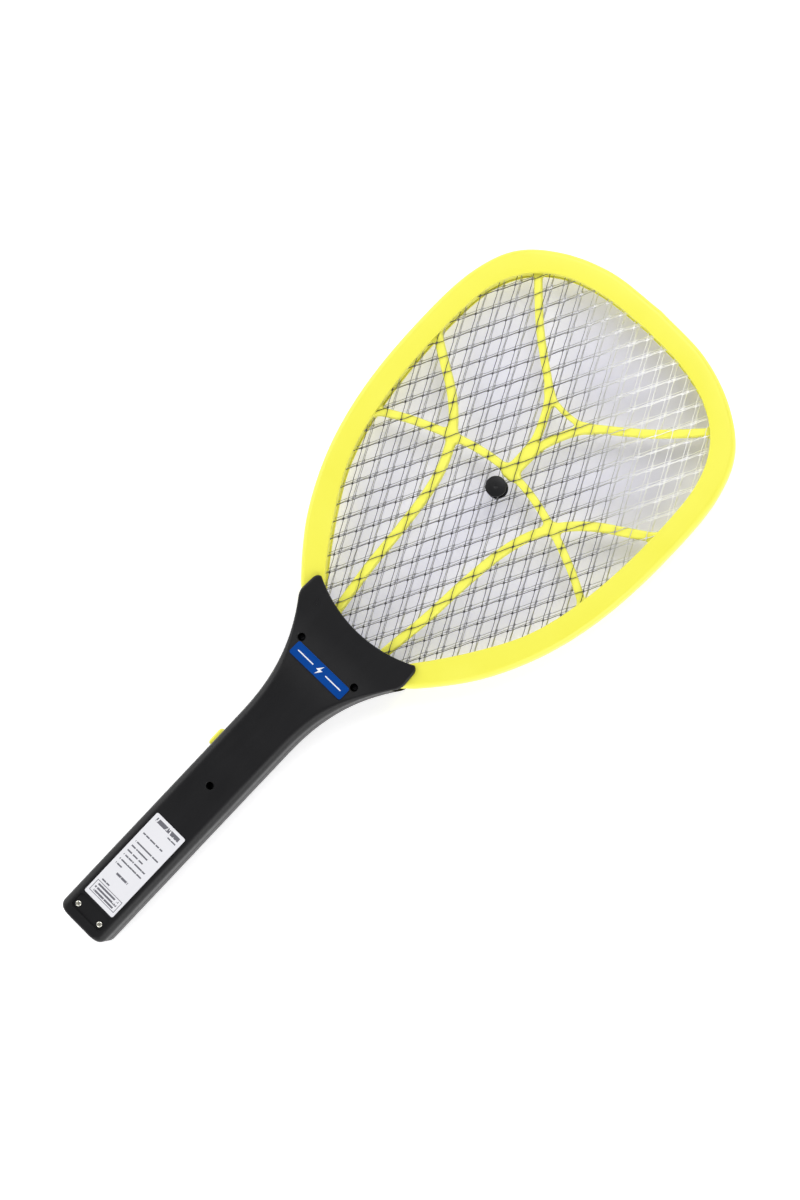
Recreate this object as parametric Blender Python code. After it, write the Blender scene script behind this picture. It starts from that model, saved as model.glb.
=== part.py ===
"""Rechargeable electric fly swatter, lying on its front face with its back face up.

X runs across the head, Y from the handle's end to the top of the head, Z upwards.
The origin is under the middle of the whole object, on the surface it lies on.
Sizes are in millimetres; the helpers turn them into Blender's metres. Heights called
"local" are measured from the mid-plane, outwards, so the back half (side +1) and the
front half (side -1) share their functions.
"""
import math

import bmesh
import bpy
from mathutils import Matrix, Vector

MM = 0.001
BACK, FRONT = 1, -1
SIDES = ((BACK, "back"), (FRONT, "front"))
FLANKS = ((-1, "left"), (1, "right"))
GAP = 0.3                      # between two pieces that touch
THROUGH = 1.0                  # how far a cutter passes what it cuts

# whole object
LENGTH = 500.0
THICKNESS = 28.0
MID_Z = THICKNESS / 2
TOP_Y = LENGTH / 2
END_Y = -LENGTH / 2

# head: outline keys of the right half, from the top down into the fork
HOOP_KEYS = [(0, TOP_Y), (38, 247), (68, 235.5), (89, 218), (99.5, 192), (102.5, 145), (99, 96), (89, 56),
             (71, 19), (47.5, -10.5), (41.5, -16), (34.8, -22), (30, -29.5), (25.8, -37.5), (24, -41)]
OPENING_KEYS = [(0, 236), (33, 233.5), (58, 225.5), (75, 211.5), (85, 191), (88.3, 148), (84.5, 97), (75.5, 61),
                (60, 32), (38, 1), (29, -9), (18, -14)]
HOOP_STEPS = 3
RIB_STEPS = 2
HOOP_HALF_HEIGHT = 7.5
HOOP_WALL = 2.0
LIP_LOCAL = 4.45               # underside of the lip that holds the outer net
NET_LOCAL = 3.95               # middle of an outer net
NET_THICKNESS = 0.4
RIB_FRAME_LOCAL = (0.5, 3.45)
LAYER_CLEARANCE = 0.6          # between the hoop's wall and what lies inside it

# ribs: keys of the right half
RIB_WIDTH = 5.4
ARM_KEYS = [(73, 220.5), (47.5, 195.5), (32.5, 183.5), (15, 170.5), (7, 160), (2.2, 150), (1.6, 119)]
BRIDGE_KEYS = [(-15, 170.5), (0, 167.5), (15, 170.5)]
SIDE_LEG_KEYS = [(93, 153), (74, 141), (60, 132), (49, 122.5), (40.5, 112), (33, 97), (28.5, 80), (25.5, 56),
                 (23, 22), (19.5, -6), (18.4, -17)]
CROSS_KEYS = [(90, 86), (72, 99), (59, 106), (40.5, 113), (20, 118.5), (0, 120.5)]
RIB_STEP = 0.07                # each rib is this much thinner than the one before it

# nets: cells of the structural net, coarser than the real weave
CELL_X = 30.0
CELL_Y = 50.0
CELL_REACH = 7                 # half cells each way from the middle
STRAND = 2.2
NET_RIM = 5.0
NET_BOTTOM_Y = -20.0
TAB_HALF_WIDTH = 2.5
TAB_END_Y = -45.0
TAB_NOTCH_X = 14.0             # the hoop's end wall is open this far out, for the tabs
TAB_NOTCH_Y = -38.0
TAB_X = {"back_net": 10.0, "centre_net": 0.0, "front_net": -10.0}

# insulating button in the middle of the nets
BUTTON_DISC_Y = 108.5
DISC_RADIUS = 6.35
DISC_HEIGHT = 1.5
DISC_SIDES = 24
PIN_RADIUS = 1.5
BUSH_RADIUS = 4.0
DISC_CLEAR_RADIUS = 15.0       # no net cell's middle lies nearer than this

# handle
HANDLE_HALF_WIDTH = 17.5
CORNER_X, CORNER_Y = 42.6, -16.0
HORN_TIP_X, HORN_TIP_Y = 41.5, 0.0
FLARE_START_Y = -95.0
FLARE_POWER = 2.45
FORK_HALF_HEIGHT = 10.25
RISE_START_Y = -22.0
RISE_LENGTH = 40.0
SHOULDER = 5.0                 # round edge of the grip's faces
FORK_SHOULDER = 1.6
END_CORNER = 5.0
WALL = 2.2
FORK_CEILING = 7.8
FORK_CAVITY_END_Y = -46.0
FORK_WALL_TOP_Y = -21.0
FORK_ARC_RADIUS = 86.0
FORK_ARC_LOW_Y = {BACK: -10.0, FRONT: -13.0}    # the front shell's bite is the deeper one
FORK_ARC_STEPS = 12
END_STATIONS = (0, 0.7, 2.2, END_CORNER)       # from the handle's end, where its corners turn
FLARE_STATIONS = 11
CAVITY_STATIONS = 6
FORK_WALL_STATIONS = 5
SPLIT = 0.15                   # each shell stops this far from the mid-plane

# screws and their bosses
NECK_SCREW = (21.8, -34.8)
MID_SCREW = (0.0, -135.7)
END_SCREW = (8.9, -240.6)
HEAD_RADIUS = 2.1
SHANK_RADIUS = 1.4
SCREW_SIDES = 12
SHANK_HOLE = 1.7
HEAD_HOLE = 2.45
BOSS_RADIUS = 4.0
SLEEVE_RADIUS = 3.1
SLEEVE_LOCAL = 4.0
NECK_SEAT = 5.2
MID_SEAT = 4.0
HEAD_HEIGHT = 1.9
END_HEAD_HEIGHT = 0.75
SCREW_TIP_Z = 5.0
SCREW_HOLE_Z = 4.5             # bottom of the blind holes in the front shell
SLEEVE_TOP_LOCAL = 9.0
END_SCREW_TIP_Z = 19.5
POCKET = (12.25, -243.9, -233.9, 0.9)          # half width, low y, high y, depth

# label and badge
LABEL = (11.85, -232.4, -168.6)                # half width, low y, high y
LABEL_THICKNESS = 0.15
LABEL_POCKET_DEPTH = 0.5
BADGE = (21.0, -46.0, -37.1)
BADGE_THICKNESS = 0.4
BADGE_STATIONS = 4

# side button, its return spring and its switch
PRESS_Y = -113.5
PRESS_HALF_LENGTH = 5.9
PRESS_HALF_HEIGHT = 3.9
PRESS_TIP_X = -21.0
PRESS_CHAMFER = 1.6
FLANGE_X = (-15.0, -13.9)
FLANGE_HALF_LENGTH = 8.0
PLUNGER_RADIUS = 1.2
PLUNGER_END_X = -8.0
SWITCH_X = (-10.0, -3.0)
SWITCH_HALF_LENGTH = 3.7
SWITCH_TOP_LOCAL = 3.0
SWITCH_BORE = (1.5, -5.5)      # radius, end of the plunger's bore
SPRING_X = (-13.3, -10.55)
SPRING_RADIUS = 2.4
SPRING_WIRE = 0.25
SPRING_TURNS = 3
STEPS_A_TURN = 8
WIRE_SIDES = 5

# circuit board, and what stands on it as x limits, y limits and height
BOARD_X = 13.5
BOARD_Y = (-130.0, -64.0)
BOARD_LOCAL = (-7.0, -5.4)
BOARD_TOP = MID_Z + BOARD_LOCAL[1] + GAP
POST_RADIUS = 1.6
POST_X = 10.5
POST_Y = (-126.0, -68.0)
TRANSFORMER_CORE = ((-8.0, 8.0), (-83.0, -69.0), 12.0)
CORE_WINDOW_Y = (-80.0, -72.0)
CORE_WINDOW_HEIGHTS = (2.5, 9.5)
WINDING_X = (-9.5, 9.5)
STORAGE_CAPACITOR = ((-12.5, -5.5), (-105.0, -88.0), 11.0)
CHARGING_CAPACITOR = ((-11.2, -2.0), (-129.0, -120.0), 9.0)
TRANSISTOR = ((7.0, 12.0), (-114.0, -109.0), 5.0)
BRIDGE_RECTIFIER = ((7.0, 12.5), (-128.0, -119.0), 3.4)
MULTIPLIER_Y = (-91.0, -98.0, -105.0)
DISC_CAPACITOR = (9.5, 4.5, 4.0, 2.0)          # x, height of its middle, radius, thickness
DIODE = (1.5, 1.6, 1.4, 5.0)                   # x, height of its middle, radius, length
RESISTOR_Y = (-119.0, -123.0, -127.0)
RESISTOR = (0.5, 5.5, 1.3, 1.1)                # low x, high x, height of its middle, radius
LED_X, LED_Y = 7.0, -76.0
LED_RADIUS = 1.5

# battery pack and its foam pad
BATTERY = (12.0, (-200.0, -152.0), (3.0, 17.0))
BATTERY_PAD = (11.0, (-196.0, -156.0), (17.3, 25.4))

# slide switch on the front; half width and reach past the knob's middle
WELL_DEPTH = 1.2
KNOB_Z = (0.2, 0.9)
POWER_Y = -89.0
POWER_TRAVEL = 4.0
POWER_WELL = (4.2, 4.5)
POWER_SLOT = (1.5, 1.6)
POWER_PLATE = (3.8, 3.0)
POWER_POST = (1.2, 1.2, 4.4)                   # and its top
POWER_BODY = (4.3, 4.0)
POWER_BODY_BOTTOM = WALL + 0.4
POWER_GROOVE_TOP = 4.7

# charging plug that slides out of the handle's end
PLUG_SLIDER_Y = -217.0
PLUG_TRAVEL = 19.0
PLUG_WELL = (6.0, 6.5)
PLUG_SLOT = (2.0, 3.4)
PLUG_PLATE = (5.5, 6.0)
PLUG_POST = (1.7, 3.0, 4.2)
PIN_X = 9.5
PIN_Z = 9.0
PLUG_PIN_RADIUS = 2.0
PLUG_PIN_Y = (-247.2, -220.0)
PIN_SOCKET_END_Y = -219.7
CARRIAGE = (14.0, (-228.0, -207.0), (4.5, 13.0))
GUIDE = (14.0, (-247.0, -233.0), (18.0, 25.5))
STRIP_HALF_WIDTH = 1.2
STRIP_Y = (-231.0, -205.0)
STRIP_Z = (13.4, 14.0)

# leads
LEAD_RADIUS = 0.6
LEAD_STEPS = 6
MAINS_LEAD_STEPS = 10
LEAD_BOARD_Z = MID_Z + BOARD_LOCAL[0] + 0.8
NET_LEAD_BOARD_X = 9.0
BATTERY_LEAD_X = 8.0
BATTERY_LEAD_Z = 12.0
MAINS_LEAD_X = (14.0, 13.0)                    # at its strip, at the board


# ---------------------------------------------------------------- meshes

def solid(verts, faces):
    """A closed bmesh from millimetre points, faces pointing out."""
    bm = bmesh.new()
    made = [bm.verts.new(Vector(point) * MM) for point in verts]
    for face in faces:
        bm.faces.new([made[index] for index in face])
    bmesh.ops.recalc_face_normals(bm, faces=bm.faces)
    return bm


def loft(sections):
    """Skins a row of closed sections that all have the same number of points."""
    count = len(sections[0])
    verts = [point for section in sections for point in section]
    faces = [list(range(count)), list(range(len(verts) - count, len(verts)))]
    for row in range(len(sections) - 1):
        for column in range(count):
            after = (column + 1) % count
            low, high = row * count, (row + 1) * count
            faces.append([low + column, low + after, high + after, high + column])
    return solid(verts, faces)


def prism(outline, low, high):
    """An outline in the XY plane, raised from height low to height high."""
    return loft([[(x, y, z) for x, y in outline] for z in (low, high)])


def box(x, y, z):
    """A block between the low and high limits of each axis."""
    return prism([(x[0], y[0]), (x[1], y[0]), (x[1], y[1]), (x[0], y[1])], *z)


def rod(centre, radius, low, high, axis="Z", sides=16):
    """A cylinder; centre holds its place on the other two axes, in X, Y, Z order."""
    sections = []
    for along in (low, high):
        ring = []
        for step in range(sides):
            angle = 2 * math.pi * (step + 0.5) / sides
            a = centre[0] + radius * math.cos(angle)
            b = centre[1] + radius * math.sin(angle)
            ring.append({"X": (along, a, b), "Y": (a, along, b), "Z": (a, b, along)}[axis])
        sections.append(ring)
    return loft(sections)


def together(*shapes):
    """Separate solids in one mesh."""
    merged = bmesh.new()
    for shape in shapes:
        mesh = bpy.data.meshes.new("part")
        shape.to_mesh(mesh)
        shape.free()
        merged.from_mesh(mesh)
        bpy.data.meshes.remove(mesh)
    return merged


# ---------------------------------------------------------------- objects

def finish(name, colour, roughness, metallic=0.0):
    material = bpy.data.materials.new(name)
    material.use_nodes = True
    shader = material.node_tree.nodes["Principled BSDF"]
    shader.inputs["Base Color"].default_value = (*colour, 1.0)
    shader.inputs["Roughness"].default_value = roughness
    shader.inputs["Metallic"].default_value = metallic
    return material


YELLOW = ((0.93, 0.88, 0.06), 0.38)
BLACK = ((0.018, 0.018, 0.02), 0.42)
STEEL = ((0.62, 0.62, 0.6), 0.3, 1.0)
BRASS = ((0.72, 0.6, 0.35), 0.3, 1.0)
PAPER = ((0.86, 0.86, 0.88), 0.5)
BADGE_BLUE = ((0.0, 0.06, 0.4), 0.3)
LAMINATE = ((0.25, 0.16, 0.06), 0.6)
FERRITE = ((0.05, 0.05, 0.055), 0.7)
TAPE = ((0.75, 0.55, 0.1), 0.4)
FILM_RED = ((0.35, 0.07, 0.03), 0.3)
CERAMIC_BLUE = ((0.02, 0.12, 0.4), 0.4)
RESISTOR_TAN = ((0.6, 0.45, 0.25), 0.5)
LED_RED = ((0.7, 0.02, 0.02), 0.15)
CELL_GREY = ((0.1, 0.1, 0.12), 0.5)
FOAM = ((0.2, 0.2, 0.21), 0.95)
LEAD_RED = ((0.5, 0.02, 0.02), 0.5)
LEAD_BLACK = ((0.02, 0.02, 0.02), 0.5)


def linked(name, shape):
    mesh = bpy.data.meshes.new(name)
    shape.to_mesh(mesh)
    shape.free()
    made = bpy.data.objects.new(name, mesh)
    bpy.context.scene.collection.objects.link(made)
    return made


def node(name, shape, look, hangs_on=None):
    """A named piece; one that moves hangs on the empty that marks its joint's axis."""
    made = linked(name, shape)
    made.data.materials.append(finish(name, *look))
    made.data.shade_smooth()
    made.data.set_sharp_from_angle(angle=math.radians(30))
    if hangs_on:
        made.data.transform(Matrix.Translation(-hangs_on.location))
        made.parent = hangs_on
    return made


def joint_marker(name, place):
    empty = bpy.data.objects.new(name, None)
    empty.location = Vector(place) * MM
    empty.empty_display_size = 10 * MM
    bpy.context.scene.collection.objects.link(empty)
    return empty


def shape_with(target, shape, operation):
    tool = linked(f"{target.name}_tool", shape)
    tool.hide_render = True
    tool.display_type = "WIRE"
    modifier = target.modifiers.new(operation.title(), "BOOLEAN")
    modifier.operation = operation
    modifier.solver = "EXACT"
    modifier.object = tool
    return tool


def cut(target, shape):
    return shape_with(target, shape, "DIFFERENCE")


def fuse(target, shape):
    return shape_with(target, shape, "UNION")


# ---------------------------------------------------------------- outlines

def blend(points, knots, t):
    """The point at t of a Catmull-Rom span, by repeated blending of its four points."""
    a, b, c = [mix(points[i], points[i + 1], knots[i], knots[i + 1], t) for i in range(3)]
    d, e = mix(a, b, knots[0], knots[2], t), mix(b, c, knots[1], knots[3], t)
    return mix(d, e, knots[1], knots[2], t)


def mix(start, end, low, high, t):
    return (start * (high - t) + end * (t - low)) / (high - low)


def spline(keys, steps):
    """Centripetal Catmull-Rom curve through the keys."""
    points = [Vector(key) for key in keys]
    points = [2 * points[0] - points[1]] + points + [2 * points[-1] - points[-2]]
    curve = []
    for i in range(1, len(points) - 2):
        p = points[i - 1:i + 3]
        knots = [0.0]
        for a, b in zip(p, p[1:]):
            knots.append(knots[-1] + math.sqrt((b - a).length))
        for step in range(steps):
            t = knots[1] + (knots[2] - knots[1]) * step / steps
            curve.append(tuple(blend(p, knots, t)))
    curve.append(tuple(points[-2]))
    return curve


def mirrored_loop(keys):
    """A closed outline from its right half, which starts on the centre line."""
    left = [(-x, y) for x, y in reversed(keys[1:])]
    return list(reversed(spline(left + keys, HOOP_STEPS)))


def mirrored_path(keys):
    """An open path across the centre line, from its right half."""
    return spline([(-x, y) for x, y in keys[:-1]] + keys[::-1], RIB_STEPS)


def inset(outline, distance):
    """The counter-clockwise outline moved inwards by a small distance."""
    moved = []
    count = len(outline)
    for i in range(count):
        before, here, after = (Vector(outline[j % count]) for j in (i - 1, i, i + 1))
        first = (here - before).normalized()
        second = (after - here).normalized()
        normal = Vector((-first.y - second.y, first.x + second.x)).normalized()
        stretch = 1 / max(0.5, normal.dot(Vector((-second.y, second.x))))
        moved.append(tuple(here + normal * distance * stretch))
    return moved


def strip(path, width, low, high):
    """A bar of constant width along a path."""
    left, right = [], []
    for i, point in enumerate(path):
        ahead = Vector(path[min(i + 1, len(path) - 1)]) - Vector(path[max(i - 1, 0)])
        side = Vector((-ahead.y, ahead.x)).normalized() * (width / 2)
        left.append(tuple(Vector(point) + side))
        right.append(tuple(Vector(point) - side))
    return prism(right + left[::-1], low, high)


def heights(side, low, high):
    """World heights of two local ones on the back or front half."""
    return sorted((MID_Z + side * low, MID_Z + side * high))


HOOP = mirrored_loop(HOOP_KEYS)
OPENING = mirrored_loop(OPENING_KEYS)


def half_width(y):
    """Half the handle's width in plan."""
    if y > CORNER_Y:
        return CORNER_X + (HORN_TIP_X - CORNER_X) * (y - CORNER_Y) / (HORN_TIP_Y - CORNER_Y)
    share = max(0.0, (y - FLARE_START_Y) / (CORNER_Y - FLARE_START_Y))
    width = HANDLE_HALF_WIDTH + (CORNER_X - HANDLE_HALF_WIDTH) * share ** FLARE_POWER
    rest = END_CORNER - (y - END_Y)
    if rest > 0:
        width -= END_CORNER - math.sqrt(END_CORNER ** 2 - rest ** 2)
    return width


def grip_share(y):
    """0 on the fork, 1 on the grip, with a smooth change between."""
    share = min(1.0, max(0.0, (RISE_START_Y - y) / RISE_LENGTH))
    return share * share * (3 - 2 * share)


def face_height(y):
    """Height of the handle's face above the mid-plane: the fork is thinner than the grip."""
    return FORK_HALF_HEIGHT + (MID_Z - FORK_HALF_HEIGHT) * grip_share(y)


# ---------------------------------------------------------------- head

def flank_rods(place, radius, low, high):
    """Two rods, one on each side of the handle's centre line."""
    return together(*[rod((flank * place[0], place[1]), radius, low, high) for flank, _ in FLANKS])


def make_hoop(name, side):
    hoop = node(name, prism(HOOP, *heights(side, SPLIT, HOOP_HALF_HEIGHT)), YELLOW)
    cut(hoop, prism(inset(HOOP, HOOP_WALL), *heights(side, -THROUGH, LIP_LOCAL)))
    cut(hoop, prism(OPENING, *heights(side, -THROUGH, HOOP_HALF_HEIGHT + THROUGH)))
    cut(hoop, flank_rods(NECK_SCREW, SLEEVE_RADIUS + GAP, *heights(side, 0, HOOP_HALF_HEIGHT + THROUGH)))
    cut(hoop, box((-TAB_NOTCH_X, TAB_NOTCH_X), (TAB_END_Y, TAB_NOTCH_Y), heights(side, -THROUGH, LIP_LOCAL)))


def make_rib_frame(name, side):
    low, high = RIB_FRAME_LOCAL
    band = prism(inset(HOOP, HOOP_WALL + LAYER_CLEARANCE), *heights(side, low, high))
    frame = node(name, band, YELLOW)
    cut(frame, prism(inset(OPENING, -LAYER_CLEARANCE), *heights(side, 0, LIP_LOCAL)))
    left_arm = [(-x, y) for x, y in ARM_KEYS]
    left_leg = [(-x, y) for x, y in SIDE_LEG_KEYS]
    keys = [ARM_KEYS, left_arm, BRIDGE_KEYS, SIDE_LEG_KEYS, left_leg]
    paths = [spline(rib, RIB_STEPS) for rib in keys] + [mirrored_path(CROSS_KEYS)]
    for index, path in enumerate(paths, start=1):
        thinner = RIB_STEP * index
        fuse(frame, strip(path, RIB_WIDTH, *heights(side, low + thinner, high - thinner)))
    cut(frame, flank_rods(NECK_SCREW, SHANK_HOLE + GAP, *heights(side, 0, LIP_LOCAL)))


def net_cells(low, high):
    """The cells of a net as one cutter, cropped to the net's rim."""
    limit = inset(OPENING, NET_RIM / 2)
    half_x, half_y = (CELL_X - STRAND) / 2, (CELL_Y - 2 * STRAND) / 2
    cells = []
    for row in range(-CELL_REACH, CELL_REACH + 1):
        for column in range(-CELL_REACH, CELL_REACH + 1):
            x, y = column * CELL_X / 2, BUTTON_DISC_Y + row * CELL_Y / 2
            clear = math.hypot(x, y - BUTTON_DISC_Y) > DISC_CLEAR_RADIUS
            if (row + column) % 2 == 0 and clear and inside((x, y), limit):
                outline = [(x - half_x, y), (x, y - half_y), (x + half_x, y), (x, y + half_y)]
                cells.append(prism(outline, low, high))
    return together(*cells), prism(limit, low - THROUGH, high + THROUGH)


def inside(point, outline):
    x, y = point
    crossings = 0
    for (x0, y0), (x1, y1) in zip(outline, outline[1:] + outline[:1]):
        if (y0 > y) != (y1 > y) and x < x0 + (x1 - x0) * (y - y0) / (y1 - y0):
            crossings += 1
    return crossings % 2 == 1


def make_net(name, local):
    """A stamped plate with lozenge cells and a tab that its lead is soldered to."""
    low, high = MID_Z + local - NET_THICKNESS / 2, MID_Z + local + NET_THICKNESS / 2
    rim = [point for point in inset(HOOP, HOOP_WALL + 2 * LAYER_CLEARANCE) if point[1] > NET_BOTTOM_Y]
    tab = TAB_X[name]
    tab_outline = [(tab - TAB_HALF_WIDTH, NET_BOTTOM_Y), (tab - TAB_HALF_WIDTH, TAB_END_Y),
                   (tab + TAB_HALF_WIDTH, TAB_END_Y), (tab + TAB_HALF_WIDTH, NET_BOTTOM_Y)]
    net = node(name, prism(rim + tab_outline, low, high), STEEL)
    cells, limit = net_cells(low - THROUGH, high + THROUGH)
    shape_with(cut(net, cells), limit, "INTERSECT")
    cut(net, rod((0, BUTTON_DISC_Y), PIN_RADIUS + GAP, low - THROUGH, high + THROUGH))


def make_centre_button():
    centre = (0, BUTTON_DISC_Y)
    face = NET_LOCAL + NET_THICKNESS / 2 + GAP
    discs = []
    for side, word in SIDES:
        disc = rod(centre, DISC_RADIUS, *heights(side, face, face + DISC_HEIGHT), sides=DISC_SIDES)
        discs.append(node(f"centre_disc_{word}", disc, BLACK))
    back, front = discs
    fuse(back, rod(centre, PIN_RADIUS, *heights(BACK, face + GAP, -face - DISC_HEIGHT / 2)))
    cut(front, rod(centre, PIN_RADIUS + GAP, *heights(FRONT, 0, face + DISC_HEIGHT - GAP)))
    for side, word in SIDES:
        bush = node(f"centre_spacer_{word}", rod(centre, BUSH_RADIUS, *heights(side, *RIB_FRAME_LOCAL)), BLACK)
        cut(bush, rod(centre, PIN_RADIUS + GAP, 0, THICKNESS))


# ---------------------------------------------------------------- handle

def shell_section(y, side):
    """One cross-section of a shell's outside: straight sides, round shoulders, flat face."""
    wide, high = half_width(y), face_height(y)
    radius = FORK_SHOULDER + (SHOULDER - FORK_SHOULDER) * grip_share(y)
    arc = [math.radians(angle) for angle in (0, 30, 60, 90)]
    right = [(wide, SPLIT)]
    right += [(wide - radius * (1 - math.cos(a)), high - radius * (1 - math.sin(a))) for a in arc]
    profile = right + [(-x, z) for x, z in reversed(right)]
    return [(x, y, MID_Z + side * z) for x, z in profile]


def cavity_section(y, side):
    wide, high = half_width(y) - WALL, face_height(y) - WALL
    corners = [(wide, -THROUGH), (wide, high), (-wide, high), (-wide, -THROUGH)]
    return [(x, y, MID_Z + side * z) for x, z in corners]


def stations(low, high, count):
    return [low + (high - low) * step / count for step in range(count + 1)]


def fork_cavity(side):
    """The room for the hoop's tongue, open along the arc and on both flanks."""
    rows = stations(FORK_CAVITY_END_Y, FORK_WALL_TOP_Y, FORK_WALL_STATIONS)
    walls = [(half_width(y) - WALL, y) for y in rows]
    wide = CORNER_X + 2 * WALL
    right = walls + [(wide, FORK_WALL_TOP_Y), (wide, 2 * WALL)]
    outline = right + [(-x, y) for x, y in reversed(right)]
    return prism(outline, *heights(side, -THROUGH, FORK_CEILING))


def fork_arc(side):
    """The round bite out of a shell's front edge."""
    centre_y = FORK_ARC_LOW_Y[side] + FORK_ARC_RADIUS
    reach = math.asin((CORNER_X + 2 * WALL) / FORK_ARC_RADIUS)
    angles = stations(-reach, reach, FORK_ARC_STEPS)
    arc = [(FORK_ARC_RADIUS * math.sin(a), centre_y - FORK_ARC_RADIUS * math.cos(a)) for a in angles]
    top = 3 * SHOULDER
    return prism(arc + [(arc[-1][0], top), (arc[0][0], top)], -THROUGH, THICKNESS + THROUGH)


def press_opening():
    y = (PRESS_Y - PRESS_HALF_LENGTH - GAP, PRESS_Y + PRESS_HALF_LENGTH + GAP)
    high = PRESS_HALF_HEIGHT + GAP
    return box((PRESS_TIP_X - THROUGH, -HANDLE_HALF_WIDTH + WALL + THROUGH), y, (MID_Z - high, MID_Z + high))


def make_shell(name, side):
    rows = [END_Y + along for along in END_STATIONS]
    rows += stations(FLARE_START_Y, CORNER_Y, FLARE_STATIONS) + [HORN_TIP_Y]
    shell = node(name, loft([shell_section(y, side) for y in rows]), BLACK)
    rows = [END_Y + WALL] + stations(FLARE_START_Y, FORK_CAVITY_END_Y, CAVITY_STATIONS)
    cut(shell, loft([cavity_section(y, side) for y in rows]))
    cut(shell, fork_cavity(side))
    cut(shell, fork_arc(side))
    cut(shell, press_opening())
    fuse(shell, rod(MID_SCREW, BOSS_RADIUS, *heights(side, SPLIT, MID_Z - WALL / 2)))
    fuse(shell, flank_rods(NECK_SCREW, SLEEVE_RADIUS, *heights(side, SLEEVE_LOCAL, SLEEVE_TOP_LOCAL)))
    return shell


def make_back_shell():
    shell = make_shell("back_shell", BACK)
    above = THICKNESS + THROUGH
    cut(shell, flank_rods(NECK_SCREW, SHANK_HOLE, MID_Z, above))
    cut(shell, flank_rods(NECK_SCREW, HEAD_HOLE, MID_Z + NECK_SEAT, above))
    cut(shell, rod(MID_SCREW, SHANK_HOLE, MID_Z - THROUGH, above))
    cut(shell, rod(MID_SCREW, HEAD_HOLE, MID_Z + MID_SEAT, above))
    half, low, high, depth = POCKET
    cut(shell, box((-half, half), (low, high), (THICKNESS - depth, above)))
    cut(shell, flank_rods(END_SCREW, SHANK_HOLE, THICKNESS - 3 * WALL, above))
    half, low, high = LABEL
    half += GAP
    cut(shell, box((-half, half), (low - GAP, high + GAP), (THICKNESS - LABEL_POCKET_DEPTH, above)))


def slider_room(y, travel, size, low, high):
    """The room that a slider sweeps: half a width each side, a reach past both ends of its travel."""
    half, reach = size[:2]
    return box((-half, half), (y - travel - reach, y + reach), (low, high))


def make_front_shell():
    shell = make_shell("front_shell", FRONT)
    cut(shell, flank_rods(NECK_SCREW, SHANK_HOLE, SCREW_HOLE_Z, MID_Z))
    cut(shell, rod(MID_SCREW, SHANK_HOLE, SCREW_HOLE_Z, MID_Z + THROUGH))
    post_top = MID_Z + BOARD_LOCAL[0] - GAP
    for y in POST_Y:
        fuse(shell, flank_rods((POST_X, y), POST_RADIUS, WALL / 2, post_top))
    sliders = [(POWER_Y, POWER_TRAVEL, POWER_WELL, POWER_SLOT),
               (PLUG_SLIDER_Y, PLUG_TRAVEL, PLUG_WELL, PLUG_SLOT)]
    for y, travel, well, slot in sliders:
        cut(shell, slider_room(y, travel, well, -THROUGH, WELL_DEPTH))
        cut(shell, slider_room(y, travel, slot, 0, 2 * WALL))
    cut(shell, rod((LED_X, LED_Y), LED_RADIUS + GAP, -THROUGH, 2 * WALL))
    for flank, _ in FLANKS:
        cut(shell, rod((flank * PIN_X, PIN_Z), PLUG_PIN_RADIUS + GAP, END_Y - THROUGH, END_Y + 2 * WALL, "Y"))


def make_label_and_badge():
    half, low, high = LABEL
    bottom = THICKNESS - LABEL_POCKET_DEPTH + GAP
    label = box((-half, half), (low, high), (bottom, bottom + LABEL_THICKNESS))
    node("rating_label", label, PAPER)
    half, low, high = BADGE
    sections = []
    for y in stations(low, high, BADGE_STATIONS):
        face = MID_Z + face_height(y) + GAP
        corners = [(-half, face), (half, face), (half, face + BADGE_THICKNESS), (-half, face + BADGE_THICKNESS)]
        sections.append([(x, y, z) for x, z in corners])
    node("badge_plate", loft(sections), BADGE_BLUE)


# ---------------------------------------------------------------- screws

def screw(place, seat, head_radius, head_height, tip):
    """A pan head over a shank, turned about the screw's axis."""
    top = seat + head_height
    profile = [(SHANK_RADIUS, tip), (SHANK_RADIUS, seat), (head_radius, seat), (head_radius, top)]
    sections = []
    for radius, z in profile:
        angles = [2 * math.pi * step / SCREW_SIDES for step in range(SCREW_SIDES)]
        sections.append([(place[0] + radius * math.cos(a), place[1] + radius * math.sin(a), z) for a in angles])
    return loft(sections)


def make_screws():
    seat = THICKNESS - POCKET[3] + GAP / 2
    for flank, word in FLANKS:
        place = (flank * NECK_SCREW[0], NECK_SCREW[1])
        neck = screw(place, MID_Z + NECK_SEAT + GAP / 2, HEAD_RADIUS, HEAD_HEIGHT, SCREW_TIP_Z)
        node(f"neck_screw_{word}", neck, STEEL)
        place = (flank * END_SCREW[0], END_SCREW[1])
        node(f"end_screw_{word}", screw(place, seat, HEAD_RADIUS, END_HEAD_HEIGHT, END_SCREW_TIP_Z), STEEL)
    middle = screw(MID_SCREW, MID_Z + MID_SEAT + GAP / 2, HEAD_RADIUS, HEAD_HEIGHT, SCREW_TIP_Z)
    node("mid_screw", middle, STEEL)


# ---------------------------------------------------------------- side button

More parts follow.
